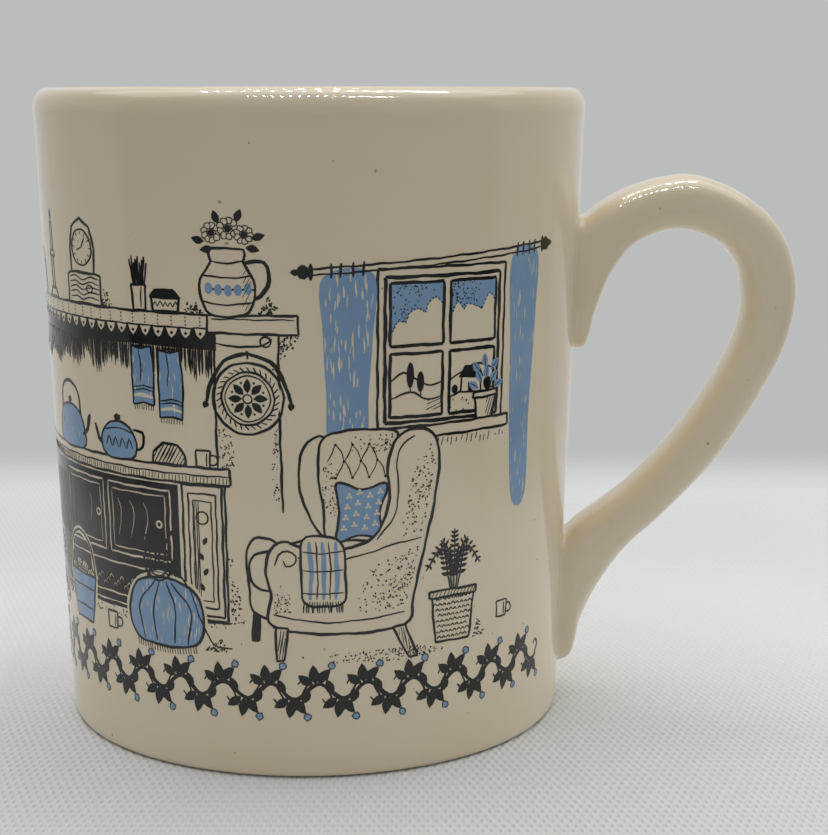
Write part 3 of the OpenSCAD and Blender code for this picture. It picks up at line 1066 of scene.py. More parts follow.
def draw_planter(c):
    """A fern in a wicker basket."""
    draw_fern(c, 21.6, 25.8, 4.6, 9.0)
    body = [(18.0, 25.4), (18.7, 18.6), (24.5, 18.6), (25.2, 25.4)]
    c.shape(body)
    for k in range(8):
        z = 19.2 + 0.8 * k
        for j in range(9):
            x = 18.6 + 0.74 * j + 0.37 * (k % 2)
            if inside(body, x - 0.3, z) and inside(body, x + 0.36, z):
                c.curve([(x - 0.3, z - 0.1), (x, z + 0.2), (x + 0.32, z - 0.1)], 0.26)
    c.shape([(17.6, 25.1), (25.6, 25.1), (25.6, 26.1), (17.6, 26.1)])
    c.hatch(box(17.7, 25.2, 25.5, 26.0), 60, 0.5)
    c.dots([(25.2, 18.4), (28.2, 18.4), (26.2, 22)], 34, 0.12, lean=(25.2, 18.6))


def draw_cup(c, x, z, size, ink=PAPER):
    """A small mug whose foot stands at (x, z)."""
    c.ring(x + 1.25 * size, z + 0.95 * size, 0.62 * size, 0.6 * size, width=0.26, count=8)
    c.shape([(x - 0.9 * size, z), (x + 0.8 * size, z), (x + 0.95 * size, z + 2 * size),
             (x - 1.0 * size, z + 2 * size)], ink, 0.28)
    c.line([(x + 0.4 * size, z + 0.2), (x + 0.5 * size, z + 1.7 * size)], 0.2)


def draw_mantel(c):
    """The mantel shelf with its scalloped edge, and the shade below it."""
    shade = [(-60, 63.4), (-12.0, 63.4), (-12.0, 60.6), (-24, 60.9), (-36, 60.5), (-48, 61.0), (-60, 60.6)]
    c.fill(BLACK, shade)
    for k in range(190):
        x = -60 + 0.252 * k
        drop = 1.6 + 1.5 * math.sin(k * 0.13) ** 2 + c.rng.uniform(0, 1.6)
        lean = c.rng.uniform(-0.25, 0.25)
        c.line([(x, 61.2), (x + lean, 60.6 - drop)], c.rng.uniform(0.18, 0.3), ends=0.2, wobble=0.03)
    c.shape([(-61, 63.4), (-13.0, 63.4), (-13.0, 65.4), (-61, 65.4)])
    for k in range(22):
        x = -60.4 + 2.15 * k
        c.shape([(x, 63.5), (x + 0.4, 62.5), (x + 1.05, 61.9), (x + 1.7, 62.5), (x + 2.1, 63.5)], width=0.24)
        c.dot(x + 1.05, 62.75, 0.24, count=6)
        for z in (63.9, 64.4, 64.9):
            c.dot(x + 1.05, z, 0.12, count=6)
    c.shape([(-13.2, 63.0), (-0.9, 62.9), (-0.9, 65.5), (-13.2, 65.4)])
    c.line([(-12.6, 64.9), (-1.4, 64.9)], 0.18)
    c.dots([(-0.8, 62.8), (-3.4, 62.6), (-3.2, 57.5), (-2.2, 60)], 46, 0.13, lean=(-3.3, 62.6))


def draw_pier(c):
    """The chimney's side, with a plate hung on it."""
    c.line([(-12.2, 63.0), (-12.4, 54), (-12.3, 44.4)], LINE)
    c.line([(-3.5, 63.0), (-3.6, 54), (-3.3, 38.5)], LINE)
    c.curve([(-12.0, 61.6), (-8.6, 61.2), (-5.6, 61.5), (-4.4, 62.4)], 0.3)
    c.ring(-5.2, 61.9, 0.7, width=0.26, count=8)
    c.dots([(-12.0, 44.6), (-9.6, 44.6), (-10.4, 50), (-12.2, 60)], 60, 0.12, lean=(-12.2, 45))
    c.dots([(-4.6, 40), (-3.8, 40), (-3.9, 61), (-4.7, 58)], 50, 0.12, lean=(-3.6, 48))
    c.line([(-7.7, 59.6), (-7.8, 60.7)], 0.5)
    for side in (-1, 1):
        c.curve([(-7.8, 60.4), (-7.8 + 3.2 * side, 59.2), (-7.8 + 5.0 * side, 56.4),
                 (-7.8 + 5.9 * side, 53.4)], 0.55)
        c.leaf(-7.8 + 5.8 * side, 53.8, 1.2, -100 + 10 * side, fat=0.45)
    c.ring(-7.8, 54.2, 4.9, ink=BLACK)
    c.dot(-7.8, 54.2, 4.55, ink=PAPER, count=32)
    for k in range(30):
        turn = 2 * math.pi * k / 30
        c.line([around(-7.8, 54.2, r, turn + 0.12 * s) for r, s in ((3.75, 0), (4.3, 1))], 0.28)
    c.ring(-7.8, 54.2, 3.6, width=0.3, count=28)
    c.ring(-7.8, 54.2, 3.1, width=0.2, count=24)
    for k in range(8):
        c.leaf(*around(-7.8, 54.2, 0.75, k * math.pi / 4), 2.0, 45 * k, fat=0.3)
        c.dot(*around(-7.8, 54.2, 2.3, (k + 0.5) * math.pi / 4), 0.18, count=6)
    c.ring(-7.8, 54.2, 0.6, ink=BLUE, width=0.2, count=10)


def draw_towels(c):
    """Two striped cloths on the shelf's pegs."""
    for x, z, low in ((-25.4, 60.6, 52.4), (-20.8, 60.3, 50.8)):
        cloth = [(x, z), (x + 1.7, z - 0.4), (x + 3.4, z), (x + 3.7, (z + low) / 2), (x + 3.5, low),
                 (x + 1.8, low + 0.3), (x - 0.1, low), (x - 0.2, (z + low) / 2)]
        c.fill(BLUE, cloth)
        c.flecks(cloth, 26, 1.2)
        c.sides(cloth, 0.3, ends=1.0)
        for up, wide, ink in ((1.1, 0.5, PAPER), (1.9, 0.22, BLACK), (2.4, 0.22, BLACK)):
            c.curve([(x, low + up), (x + 1.8, low + up + 0.3), (x + 3.4, low + up)], wide, ink)
        for k in range(9):
            c.line([(x + 0.1 + 0.42 * k, low), (x + 0.05 + 0.42 * k, low - 0.7)], 0.16)
        c.curve([(x + 1.2, z - 0.3), (x + 1.5, z - 2.8), (x + 1.3, z - 5)], 0.2)
        c.dot(x + 1.7, z + 0.1, 0.3, count=8)


def draw_ticks(c, x, z, reach, width):
    """The twelve hour strokes of a clock face, between the two radii of reach."""
    for k in range(12):
        c.line([around(x, z, r, k * math.pi / 6) for r in reach], width)


def draw_mantel_clock(c):
    """A round-topped clock on its base."""
    c.shape([(-39.4, 65.5), (-31.0, 65.5), (-31.0, 69.6), (-31.9, 69.8), (-38.4, 69.8), (-39.4, 69.4)])
    for k in range(5):
        z = 66.2 + 0.7 * k
        c.curve([(-38.8, z), (-37, z + 0.3), (-35.4, z - 0.2), (-33.4, z + 0.25), (-31.4, z)], 0.2)
    c.ring(-33.6, 67.6, 0.75, 0.45, width=0.22, count=9)
    c.shape([(-38.1, 69.8), (-38.3, 73.4), (-37.4, 76.2), (-35.2, 77.4), (-33.0, 76.2), (-32.1, 73.4),
             (-32.3, 69.8)], width=0.4)
    c.ring(-35.2, 73.3, 2.5, width=0.28, count=20)
    draw_ticks(c, -35.2, 73.3, (1.8, 2.25), 0.24)
    c.line([(-35.2, 73.3), (-34.3, 74.7)], 0.3)
    c.line([(-35.2, 73.3), (-36.4, 72.9)], 0.3)
    c.dots([(-30.9, 65.6), (-28.4, 65.6), (-30.2, 68.6)], 36, 0.13, lean=(-30.9, 65.6))


def draw_ornaments(c):
    """What else stands on the shelf: a jar, a dish, a jug, a candlestick and a bowl."""
    c.shape([(-24.7, 65.5), (-22.6, 65.5), (-22.4, 69.0), (-24.9, 69.0)])
    c.line([(-23.3, 65.9), (-23.2, 68.7)], 0.2)
    for k in range(9):
        x = -24.5 + 0.23 * k
        c.line([(x, 69.0), (x + 0.13 * (k - 4), 72.4 + 0.5 * math.sin(k * 2.1))], 0.3, ends=0.8)
    c.shape([(-21.4, 65.6), (-17.4, 65.6), (-17.2, 67.5), (-21.6, 67.5)])
    c.shape([(-21.8, 67.4), (-17.0, 67.4), (-18.0, 68.5), (-20.8, 68.5)], BLACK)
    for k in range(5):
        c.curve([(-21.3 + 0.8 * k, 66.2), (-20.9 + 0.8 * k, 66.9), (-20.5 + 0.8 * k, 66.2)], 0.2)
    c.dots([(-17.0, 65.6), (-13.6, 65.6), (-14.6, 67.0), (-16.6, 67.2)], 44, 0.14, lean=(-14, 65.6))
    draw_flower_jug(c)
    c.shape([(-47.6, 65.5), (-43.4, 65.5), (-44.6, 66.8), (-46.4, 66.8)])
    c.shape(box(-46.0, 66.8, -45.0, 71.4))
    c.shape([(-46.6, 71.4), (-44.4, 71.4), (-44.8, 72.2), (-46.2, 72.2)])
    c.shape(box(-45.9, 72.2, -45.1, 76.2), width=0.26)
    c.leaf(-45.5, 76.3, 1.8, 90, BLACK, 0.25)
    c.shape([(-56.5, 65.5), (-51.0, 65.5), (-50.6, 68.4), (-52.0, 71.6), (-55.4, 71.6), (-56.9, 68.4)],
            BLUE, smooth=True)
    c.curve([(-56.6, 68.4), (-53.8, 67.8), (-50.8, 68.4)], 0.26)
    c.curve([(-56.0, 70.2), (-53.8, 69.7), (-51.4, 70.2)], 0.26)


def draw_flower_jug(c):
    """A jug of daisies, where the shelf needs its tallest ornament."""
    c.curve([(-7.9, 72.4), (-5.2, 72.6), (-4.6, 70.2), (-5.8, 68.0), (-7.4, 67.4)], 0.55)
    c.shape([(-12.6, 65.5), (-13.9, 67.8), (-13.9, 70.2), (-12.4, 72.6), (-12.5, 74.2), (-7.9, 74.2),
             (-8.0, 72.6), (-6.6, 70.2), (-6.6, 67.8), (-7.9, 65.5)], smooth=True)
    c.curve([(-12.3, 72.7), (-10.2, 72.3), (-8.1, 72.7)], 0.26)
    for z in (67.2, 70.8):
        c.curve([(-13.8, z), (-10.2, z - 0.4), (-6.7, z)], 0.24)
    for k in range(5):
        c.dot(-12.8 + 1.35 * k, 69.0 - 0.25 * math.sin(k * 0.8), 0.55, 0.8, ink=BLUE, count=10)
        c.dot(-12.12 + 1.35 * k, 68.9, 0.16, count=6)
    c.hatch([(-8.2, 65.8), (-7.4, 66.4), (-6.9, 68.4), (-6.9, 70), (-8.0, 72)], 60, 0.5, 0.16)
    for x, z, a in ((-13.2, 75.2, 165), (-12.0, 74.4, 190), (-7.6, 74.5, -12), (-6.8, 75.6, 18),
                    (-11.2, 77.6, 110), (-8.8, 77.8, 70)):
        c.leaf(x, z, 1.9, a)
    for x, z, r in ((-12.2, 76.4, 1.35), (-9.9, 77.0, 1.45), (-7.8, 76.2, 1.25)):
        for k in range(9):
            turn = 2 * math.pi * k / 9
            c.shape(oval(*around(x, z, r * 0.72, turn), r * 0.33, count=7), width=0.15)
        c.dot(x, z, r * 0.36, count=9)
    c.dots([(-6.2, 65.6), (-2.4, 65.6), (-4.8, 68.0)], 50, 0.14, lean=(-6.2, 65.6))


def draw_range(c):
    """A black cooking range: hot plate, oven door, grate and side pillars."""
    c.shape(box(-60, 22.6, -11.4, 42.2))
    c.fill(BLACK, box(-59.6, 23.0, -18.6, 41.6))
    c.shape([(-61, 42.0), (-10.6, 42.0), (-10.6, 44.3), (-61, 44.3)])
    c.hatch(box(-60.6, 42.2, -10.8, 43.0), 88, 0.55)
    c.line([(-61, 43.2), (-10.8, 43.2)], 0.22)
    for x in (-17.9, -60):
        c.shape(box(x, 23.2, x + 6.0, 41.8))
        c.shape(box(x + 0.9, 24.4, x + 5.1, 40.6), width=0.26)
        c.shape(box(x + 1.6, 25.4, x + 4.4, 39.6), width=0.2)
        c.hatch(box(x + 1.7, 25.5, x + 2.6, 39.5), 90, 0.3, 0.16)
        c.ring(x + 3.0, 37.2, 0.9, width=0.24, count=10)
        for k in range(4):
            c.leaf(x + 3.0, 33.4 - 2.2 * k, 1.3, 60 + 60 * (k % 2))
    for x0, x1 in ((-44.6, -33.2), (-32.0, -20.0)):
        for inset, width in ((0.0, 0.3), (0.9, 0.2)):
            c.sides(box(x0 + inset, 30.4 + inset, x1 - inset, 40.6 - inset), width, PAPER)
        for k in range(3):
            c.curve([(x0 + 2 + 2.6 * k, 33.0), (x0 + 2.8 + 2.6 * k, 36.6), (x0 + 2.1 + 2.6 * k, 38.4)],
                    0.16, PAPER)
    c.dot(-34.8, 35.6, 0.62, ink=PAPER, count=10)
    c.dot(-22.0, 35.6, 0.62, ink=PAPER, count=10)
    c.dot(-34.8, 35.6, 0.3, count=8)
    c.dot(-22.0, 35.6, 0.3, count=8)
    c.sides(box(-44.6, 24.2, -20.0, 28.8), 0.26, PAPER)
    for k in range(30):
        x, z = -44.0 + 0.8 * k, 25.0 + 0.6 * (k % 3)
        c.curve([(x, z), (x + 0.4, z + 0.6), (x + 0.9, z + 0.1)], 0.2, PAPER)
    for k in range(9):
        c.line([(-53.2 + 0.95 * k, 30.2), (-53.2 + 0.95 * k, 39.6)], 0.26, PAPER)
    c.dots(box(-53.4, 24.6, -45.6, 29.6), 60, 0.2, PAPER)
    c.line([(-61, 22.4), (-11.0, 22.4)], 0.4)
    c.dots([(-61, 20.8), (-30, 20.8), (-11, 21.6), (-11, 22.2), (-61, 22.2)], 150, 0.13)
    c.dots([(-11.0, 22.4), (-8.6, 22.4), (-10.4, 30), (-11.2, 40)], 50, 0.13, lean=(-11, 24))


def draw_hob(c):
    """What stands on the range: a kettle, a teapot, a loaf and a mug."""
    c.curve([(-45.4, 48.2), (-44.6, 52.4), (-41.6, 53.8), (-38.8, 52.2), (-38.2, 48.4)], 0.45)
    c.shape([(-45.6, 44.4), (-46.4, 46.8), (-45.0, 49.4), (-41.8, 50.4), (-38.6, 49.4), (-37.2, 46.8),
             (-38.0, 44.4)], BLUE, smooth=True)
    c.dot(-41.8, 51.0, 0.6, 0.5, count=8)
    c.curve([(-37.9, 46.4), (-36.4, 47.4), (-35.6, 49.6)], 0.7)
    c.flecks([(-45.4, 45), (-38.4, 45), (-38.6, 48.6), (-45, 48.6)], 16, 1.2)
    c.curve([(-26.0, 48.6), (-24.2, 48.4), (-24.3, 46.4), (-26.0, 45.6)], 0.4)
    c.curve([(-32.2, 46.0), (-33.4, 46.6), (-34.2, 48.6)], 0.7)
    c.shape([(-31.6, 44.4), (-32.7, 46.6), (-31.4, 48.8), (-29.0, 49.5), (-26.6, 48.8), (-25.4, 46.6),
             (-26.5, 44.4)], BLUE, smooth=True)
    c.shape(oval(-29.0, 50.0, 0.6, 0.55, count=8), BLACK, width=0.2)
    for k in range(4):
        c.curve([(-31.6 + 1.4 * k, 45.8), (-31.0 + 1.4 * k, 47.2), (-30.4 + 1.4 * k, 45.8)], 0.28)
    c.curve([(-32.2, 48.0), (-29.0, 48.6), (-25.8, 48.0)], 0.24)
    loaf = [(-22.6, 44.4), (-22.4, 46.0), (-20.6, 47.4), (-18.4, 47.2), (-17.2, 45.8), (-17.2, 44.4)]
    c.shape(loaf)
    c.hatch(loaf, 58, 0.5, 0.26)
    draw_cup(c, -14.4, 44.4, 1.15)


def draw_pouffe(c):
    """A blue buttoned pouffe with a ball of wool on it."""
    body = [(-27.0, 18.8), (-28.4, 22.4), (-26.8, 26.6), (-21.8, 28.0), (-16.8, 26.6), (-15.2, 22.4),
            (-16.6, 18.8), (-21.8, 18.0)]
    path = curved(body, True)
    c.trace(path, 1.3, PAPER)
    for k in range(24):
        x, sag = -27.0 + 0.45 * k, 0.5 * math.sin(k / 23 * math.pi)
        c.line([(x, 18.6 - sag), (x + 0.1, 17.5 - sag)], 0.2)
    c.fill(BLUE, path)
    c.flecks(path, 70, 1.6)
    c.trace(path, 0.42)
    for x, swing in ((-25.6, -1.2), (-23.4, -0.5), (-20.2, 0.5), (-18.0, 1.2)):
        c.curve([(-21.8 + (x + 21.8) * 0.35, 27.4), (x + swing * 0.6, 23.6), (x, 18.6)], 0.28)
    for side in (-1, 1):
        c.line([(-22.6 - 2.6 * side, 34.6), (-22.6 + 2.2 * side, 27.6)], 0.34)
        c.dot(-22.6 - 2.6 * side, 34.6, 0.36, count=8)
    c.ring(-22.6, 30.0, 2.5, count=14)
    for tilt in (20, 80, 140):
        turn = math.radians(tilt)
        for bow in (-1.5, -0.75, 0, 0.75, 1.5):
            reach = math.sqrt(6.0 - bow * bow) * 0.93
            ends = [(-reach, bow * 0.75), (0, bow * 1.25), (reach, bow * 0.75)]
            if tilt == 20 or abs(bow) > 1:
                c.curve([(-22.6 + u * math.cos(turn) - v * math.sin(turn),
                          30.0 + u * math.sin(turn) + v * math.cos(turn)) for u, v in ends], 0.18)
    c.curve([(-20.4, 28.8), (-18.6, 28.4), (-17.2, 26.4), (-15.6, 22.4), (-13.8, 19.2), (-11.0, 18.8)], 0.24)
    c.dots([(-15.4, 18.2), (-10.5, 18.2), (-12.6, 20.0)], 50, 0.13, lean=(-15.2, 18.2))


def draw_hearth(c):
    """A coal bucket, a small mug and a mat in front of the range."""
    handle = curved([(-46.0, 25.0), (-44.8, 29.8), (-41.4, 31.6), (-38.0, 29.8), (-36.8, 25.0)])
    pail = [(-44.4, 18.2), (-46.0, 25.2), (-36.8, 25.2), (-38.4, 18.2)]
    for path, width in ((handle, 1.1), (straight(pail + pail[:1]), 1.5)):
        c.pen(path, width, PAPER, ends=1.0)
    c.pen(handle, 0.36)
    for x, z in ((-44.4, 25.6), (-42.3, 26.4), (-40.2, 26.3), (-38.4, 25.5)):
        c.shape([(x - 1.3, z - 0.6), (x - 0.9, z + 0.6), (x + 0.3, z + 1.0), (x + 1.2, z + 0.3),
                 (x + 1.1, z - 0.7)], width=0.28)
        c.hatch([(x - 1.2, z - 0.5), (x + 0.3, z + 0.9), (x + 1.1, z - 0.6)], 60, 0.4, 0.2)
    c.shape(pail, BLUE)
    for z in (20.2, 23.2):
        c.line([(-45.2 + (z - 23) * -0.2, z), (-37.6 + (z - 23) * 0.2, z)], 0.3)
    c.flecks(pail, 26, 1.2)
    draw_cup(c, -32.6, 18.8, 1.2)
    c.ring(-54.0, 19.6, 4.6, 1.6, count=20)
    c.ring(-54.0, 19.6, 3.4, 1.0, ink=BLUE, width=0.24, count=16)


VINE_START = -167.0
VINE_END = 41.4
VINE_LEAF_PITCH = 6.9
VINE_Z = 12.9
VINE_SWING = 1.15


def draw_border(c):
    """A running vine in place of any lettering: a waved stem with leaves, curls and berries."""
    count = round((VINE_END - VINE_START) / VINE_LEAF_PITCH)
    pitch = (VINE_END - VINE_START) / count
    stem = [(x, VINE_Z + VINE_SWING * math.sin(2 * math.pi * (x - VINE_START) / pitch))
            for x in np.arange(VINE_START, VINE_END + 0.01, 0.7)]
    c.pen(stem, 0.6)
    for k in range(2 * count):
        up = 1 - 2 * (k % 2)
        x, z = VINE_START + pitch * (k / 2 + 0.25), VINE_Z + VINE_SWING * up
        for dx, dz, length, angle in ((-0.2, 0, 2.7, 52), (-0.5, -0.1, 2.9, 98), (-0.9, -0.2, 2.6, 146),
                                      (-1.4, -0.9, 2.3, -118)):
            c.leaf(x + dx, z + dz * up, length, angle * up, fat=0.3)
        c.curve([(x + 0.9, z - 0.6 * up), (x + 1.7, z - 2.0 * up), (x + 1.0, z - 2.8 * up),
                 (x + 0.4, z - 2.2 * up)], 0.32)
        c.shape(oval(x + 1.75, z + 2.6 * up, 0.52, count=9), BLUE, 0.18)
        c.line([(x + 1.6, z + 2.1 * up), (x + 0.9, z + 0.2 * up)], 0.2)


def draw_front(c):
    """The picture opposite the camera, from back to front."""
    draw_window(c)
    draw_sill_plant(c)
    draw_mantel(c)
    draw_pier(c)
    draw_towels(c)
    draw_mantel_clock(c)
    draw_ornaments(c)
    draw_range(c)
    draw_hob(c)
    draw_armchair(c)
    draw_planter(c)
    draw_cup(c, 31.0, 20.4, 1.15)
    draw_hearth(c)
    draw_pouffe(c)


# ---------------------------------------------------------------- transfer print: rest of the room
def draw_plate(c, x, z, r):
    """A dresser plate: blue rim, black ring of strokes and a leaf in the middle."""
    c.ring(x, z, r, width=0.3, count=14)
    c.dot(x, z, r * 0.86, ink=BLUE, count=20)
    c.ring(x, z, r * 0.58, width=0.2, count=12)
    for k in range(4):
        c.leaf(x, z, r * 0.45, 45 + 90 * k)


def draw_dresser(c):
    """A dresser with three shelves of plates and cups over drawers and doors."""
    c.shape([(-97.4, 70.2), (-68.6, 70.2), (-67.6, 72.4), (-98.4, 72.4)])
    c.hatch([(-97.4, 70.4), (-68.8, 70.4), (-68.4, 71.4), (-97.8, 71.4)], 85, 0.7)
    c.shape(box(-96.6, 43.6, -69.4, 70.2), width=0.45)
    c.hatch(box(-96.2, 44.0, -94.8, 69.8), 90, 0.35, 0.16)
    c.hatch(box(-71.2, 44.0, -69.8, 69.8), 90, 0.35, 0.16)
    for level in range(3):
        z = 44.8 + 8.5 * level
        c.shape(box(-94.4, z - 0.9, -71.6, z), width=0.28)
        for k in range(4):
            draw_plate(c, -91.4 + 5.6 * k, z + 2.6, 2.4)
        for k in range(5 if level else 0):
            draw_cup(c, -92.6 + 4.7 * k, z - 3.1, 0.75)
            c.curve([(-92.2 + 4.7 * k, z - 1.6), (-92.8 + 4.7 * k, z - 1.2), (-92.4 + 4.7 * k, z - 0.8)], 0.2)
    c.shape(box(-98.6, 41.6, -67.4, 43.6))
    c.shape(box(-97.4, 22.4, -68.6, 41.6), width=0.45)
    for k in range(2):
        x = -96.2 + 13.8 * k
        c.shape(box(x, 36.4, x + 12.4, 40.6), width=0.3)
        c.dot(x + 6.2, 38.5, 0.55, count=9)
        c.shape(box(x, 23.8, x + 12.4, 35.2), width=0.3)
        c.shape(box(x + 1.6, 25.4, x + 10.8, 33.6), width=0.22)
        c.dot(x + 11.6 - 10.8 * k, 30, 0.45, count=9)
        for j in range(5):
            c.curve([(x + 2.6 + 1.7 * j, 26.2), (x + 3.0 + 1.7 * j, 29.4), (x + 2.5 + 1.7 * j, 32.8)], 0.17)
    for x in (-97.0, -71.2):
        c.shape(box(x, 19.4, x + 2.2, 22.4), BLACK, 0.2)
    c.dots([(-68.4, 19.2), (-64.0, 19.2), (-67.8, 27)], 70, 0.13, lean=(-68.4, 19.4))


def draw_door(c):
    """A panelled door with its latch, and an umbrella stand beside it."""
    c.shape(box(-119.2, 19.2, -101.8, 69.4), width=0.42)
    c.shape(box(-117.6, 19.2, -103.4, 67.8), width=0.3)
    for x in (-116.4, -109.8):
        for z, tall in ((22.0, 15.6), (40.4, 11.0), (54.2, 11.6)):
            c.shape(box(x, z, x + 5.2, z + tall), width=0.3)
            c.shape(box(x + 0.9, z + 0.9, x + 4.3, z + tall - 0.9), BLUE if z > 54 else PAPER, 0.18)
            c.hatch(box(x + 1.0, z + 1.0, x + 2.0, z + tall - 1.0), 90, 0.35, 0.15)
    c.shape(oval(-104.2, 42.6, 0.7, count=10), BLACK, 0.2)
    c.shape(box(-105.0, 38.8, -103.7, 41.2), width=0.24)
    for z in (26.0, 60.8):
        c.line([(-117.6, z), (-112.2, z + 0.1)], 0.7)
    c.shape([(-121.4, 17.9), (-99.6, 17.9), (-100.6, 19.4), (-120.4, 19.4)], BLUE)
    c.hatch([(-121.2, 18.1), (-99.9, 18.1), (-100.6, 19.2), (-120.4, 19.2)], 60, 0.7)


def draw_long_case_clock(c):
    """A long-case clock with its pendulum."""
    c.shape([(-131.6, 18.6), (-122.2, 18.6), (-122.8, 20.2), (-122.8, 31.6), (-131.0, 31.6), (-131.0, 20.2)])
    c.shape(box(-130.0, 21.4, -123.8, 30.4), width=0.22)
    c.shape(box(-130.2, 31.6, -123.6, 55.0))
    c.shape(box(-129.0, 34.0, -124.8, 52.6), BLACK, 0.22)
    c.line([(-126.9, 51.6), (-126.9, 38.6)], 0.26, PAPER)
    c.dot(-126.9, 37.6, 1.35, ink=PAPER, count=14)
    c.dot(-126.9, 37.6, 0.9, ink=BLUE, count=12)
    c.shape([(-131.6, 55.0), (-122.2, 55.0), (-121.6, 56.4), (-121.6, 66.6), (-126.9, 71.6),
             (-132.2, 66.6), (-132.2, 56.4)], width=0.42)
    c.ring(-126.9, 61.8, 3.9, count=24)
    c.ring(-126.9, 61.8, 3.3, width=0.18, count=20)
    draw_ticks(c, -126.9, 61.8, (2.4, 3.1), 0.26)
    c.line([(-126.9, 61.8), (-125.4, 63.2)], 0.34)
    c.line([(-126.9, 61.8), (-127.4, 59.4)], 0.34)
    c.dot(-126.9, 72.2, 0.7, count=10)
    c.hatch([(-123.6, 31.8), (-122.9, 31.8), (-123.7, 54.8), (-124.6, 54.8)], 70, 0.5, 0.16)
    c.dots([(-122.2, 18.6), (-119.8, 18.6), (-122.2, 25)], 36, 0.13, lean=(-122.2, 18.6))


def draw_bookcase(c):
    """Shelves of plain books, with a lamp and a pot on top."""
    c.shape(box(-151.4, 19.0, -135.0, 52.6), width=0.42)
    c.shape(box(-152.0, 52.6, -134.4, 54.2))
    for level in range(4):
        z = 20.6 + 8.0 * level
        c.shape(box(-150.4, z, -136.0, z + 7.0), BLACK, 0.26)
        x = -150.0
        while x < -138.4:
            wide, tall = c.rng.uniform(0.9, 1.9), c.rng.uniform(4.6, 6.2)
            c.shape(box(x, z + 0.3, x + wide, z + tall), BLUE if c.rng.random() < 0.4 else PAPER, 0.2)
            for up in (0.18, 0.26, 0.82):
                c.line([(x + 0.1, z + tall * up), (x + wide - 0.1, z + tall * up)], 0.16)
            x += wide + 0.12
    c.shape([(-146.2, 54.2), (-142.6, 54.2), (-141.8, 57.0), (-143.2, 60.0), (-145.6, 60.0), (-147.0, 57.0)],
            smooth=True)
    c.curve([(-146.6, 57.4), (-144.4, 57.0), (-142.2, 57.4)], 0.24)
    shade = [(-149.6, 60.6), (-139.2, 60.6), (-141.6, 68.4), (-147.2, 68.4)]
    c.shape(shade, BLUE)
    c.flecks(shade, 24, 1.6)
    for k in range(1, 5):
        c.line([(-149.6 + 2.08 * k, 60.6), (-147.2 + 1.12 * k, 68.4)], 0.2)
    for k in range(22):
        c.line([(-149.4 + 0.47 * k, 60.6), (-149.4 + 0.47 * k, 59.7)], 0.2)
    draw_cup(c, -137.6, 54.3, 1.1)


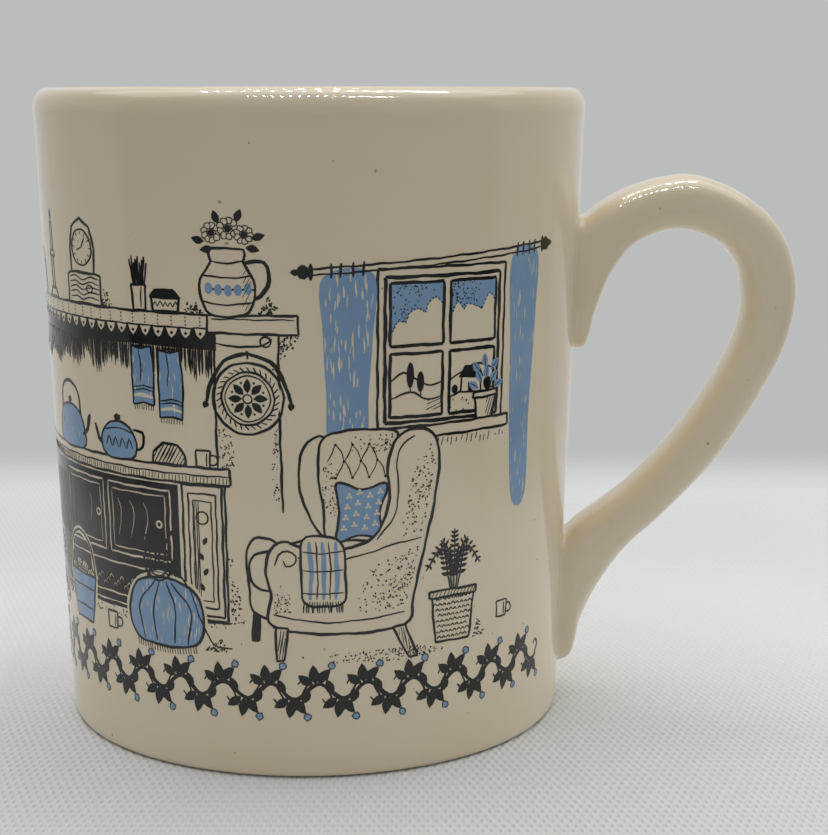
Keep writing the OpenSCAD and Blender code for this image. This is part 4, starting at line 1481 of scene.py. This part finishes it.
def draw_side_table(c):
    """A framed hill picture over a small table with fruit."""
    c.shape(box(-166.2, 56.4, -153.8, 68.6), width=0.42)
    c.shape(box(-164.8, 57.8, -155.2, 67.2), width=0.26)
    c.fill(BLUE, box(-164.6, 63.4, -155.4, 67.0))
    c.fill(PAPER, curved([(-164.6, 63.2), (-162.4, 65.4), (-159.8, 64.2), (-157.4, 65.6), (-155.4, 63.4)]))
    c.curve([(-164.6, 63.2), (-162.4, 65.4), (-159.8, 64.2), (-157.4, 65.6), (-155.4, 63.4)], 0.26)
    c.curve([(-164.6, 60.4), (-161.6, 61.8), (-158.6, 60.6), (-155.4, 61.4)], 0.26)
    c.dot(-158.4, 61.6, 0.7, 1.1, count=10)
    c.hatch([(-164.4, 58.2), (-156, 58.2), (-159, 60.4), (-162, 60.8)], 15, 0.55)
    c.line([(-160, 68.6), (-160, 71.0)], 0.24)
    c.dot(-160, 71.2, 0.35, count=8)
    for x in (-163.6, -156.4):
        c.shape([(x, 19.0), (x + 0.9, 19.0), (x + 1.2, 40.0), (x - 0.3, 40.0)], width=0.3)
    cloth = [(-166.4, 42.6), (-153.2, 42.6), (-152.6, 33.4), (-155.4, 34.8), (-157.8, 33.2),
             (-160.2, 34.8), (-162.4, 33.2), (-164.8, 34.8), (-167.0, 33.4)]
    c.shape(cloth, BLUE)
    c.flecks(cloth, 60, 1.5)
    for x in (-163.6, -160.2, -156.6):
        c.curve([(x, 42.2), (x + 0.3, 38.6), (x - 0.2, 35.4)], 0.2)
    c.shape(box(-167.0, 42.4, -152.6, 43.4), width=0.3)
    for x, z, r in ((-161.8, 47.4, 1.5), (-158.2, 47.4, 1.5), (-160.0, 48.8, 1.6)):
        c.ring(x, z, r, width=0.28, count=14)
        c.dots(oval(x + 0.4, z - 0.3, r * 0.7, count=12), 16, 0.1)
        c.leaf(x, z + r, 1.2, 60)
    c.shape([(-164.4, 47.0), (-155.6, 47.0), (-157.4, 44.2), (-158.6, 43.5), (-161.4, 43.5), (-162.6, 44.2)])
    c.hatch([(-158.6, 43.8), (-157.4, 44.4), (-156.0, 46.8), (-158, 46.8)], 60, 0.45, 0.18)


def draw_room(c):
    """The picture round the back of the mug."""
    draw_dresser(c)
    draw_door(c)
    draw_long_case_clock(c)
    draw_bookcase(c)
    draw_side_table(c)
    c.line([(-61.8, 63.4), (-62.1, 42), (-61.8, 22.6)], LINE)
    c.line([(-66.2, 66.4), (-66.4, 44), (-66.0, 20.4)], LINE)
    c.dots([(-66.0, 22), (-64.8, 22), (-65.0, 60), (-66.2, 60)], 70, 0.12, lean=(-66.4, 40))


# ---------------------------------------------------------------- transfer print: pieces
FIRST_SEED = 7


def make_prints(materials):
    """Two pieces, one for each ink, from all the pictures."""
    parts = {BLUE: [], BLACK: []}
    for seed, draw in enumerate((draw_front, draw_room, draw_border), FIRST_SEED):
        canvas = Canvas(seed)
        draw(canvas)
        points, by_ink = cut_canvas(canvas)
        for ink, tris in by_ink.items():
            parts[ink].append(ink_shell(points, tris))
    for ink, name, node in ((BLUE, "print_blue", "transfer_blue"), (BLACK, "print_black", "transfer_black")):
        points, faces = [], []
        for skin, polygons in parts[ink]:
            first = len(points)
            points += skin.tolist()
            faces += [tuple(first + k for k in polygon) for polygon in polygons]
        piece = make_object(name, points, faces)
        piece.data.set_sharp_from_angle(angle=math.radians(40))
        add_piece(piece, materials[ink], name, node)


# ---------------------------------------------------------------- build
make_set()
glaze = glaze_material()
clay = clay_material()
make_cup_glaze(glaze)
make_cup_clay(clay)
make_handle(glaze, clay)
make_prints({
    BLUE: ink_material("print_blue_ink", (0.245, 0.385, 0.560, 1), (0.200, 0.335, 0.520, 1), 140),
    BLACK: ink_material("print_black_ink", (0.014, 0.013, 0.013, 1), (0.004, 0.004, 0.004, 1), 300),
})
for name in ("upper_joint_slip", "lower_joint_slip"):
    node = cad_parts[name]
    node.data.materials.clear()
    node.data.materials.append(clay)
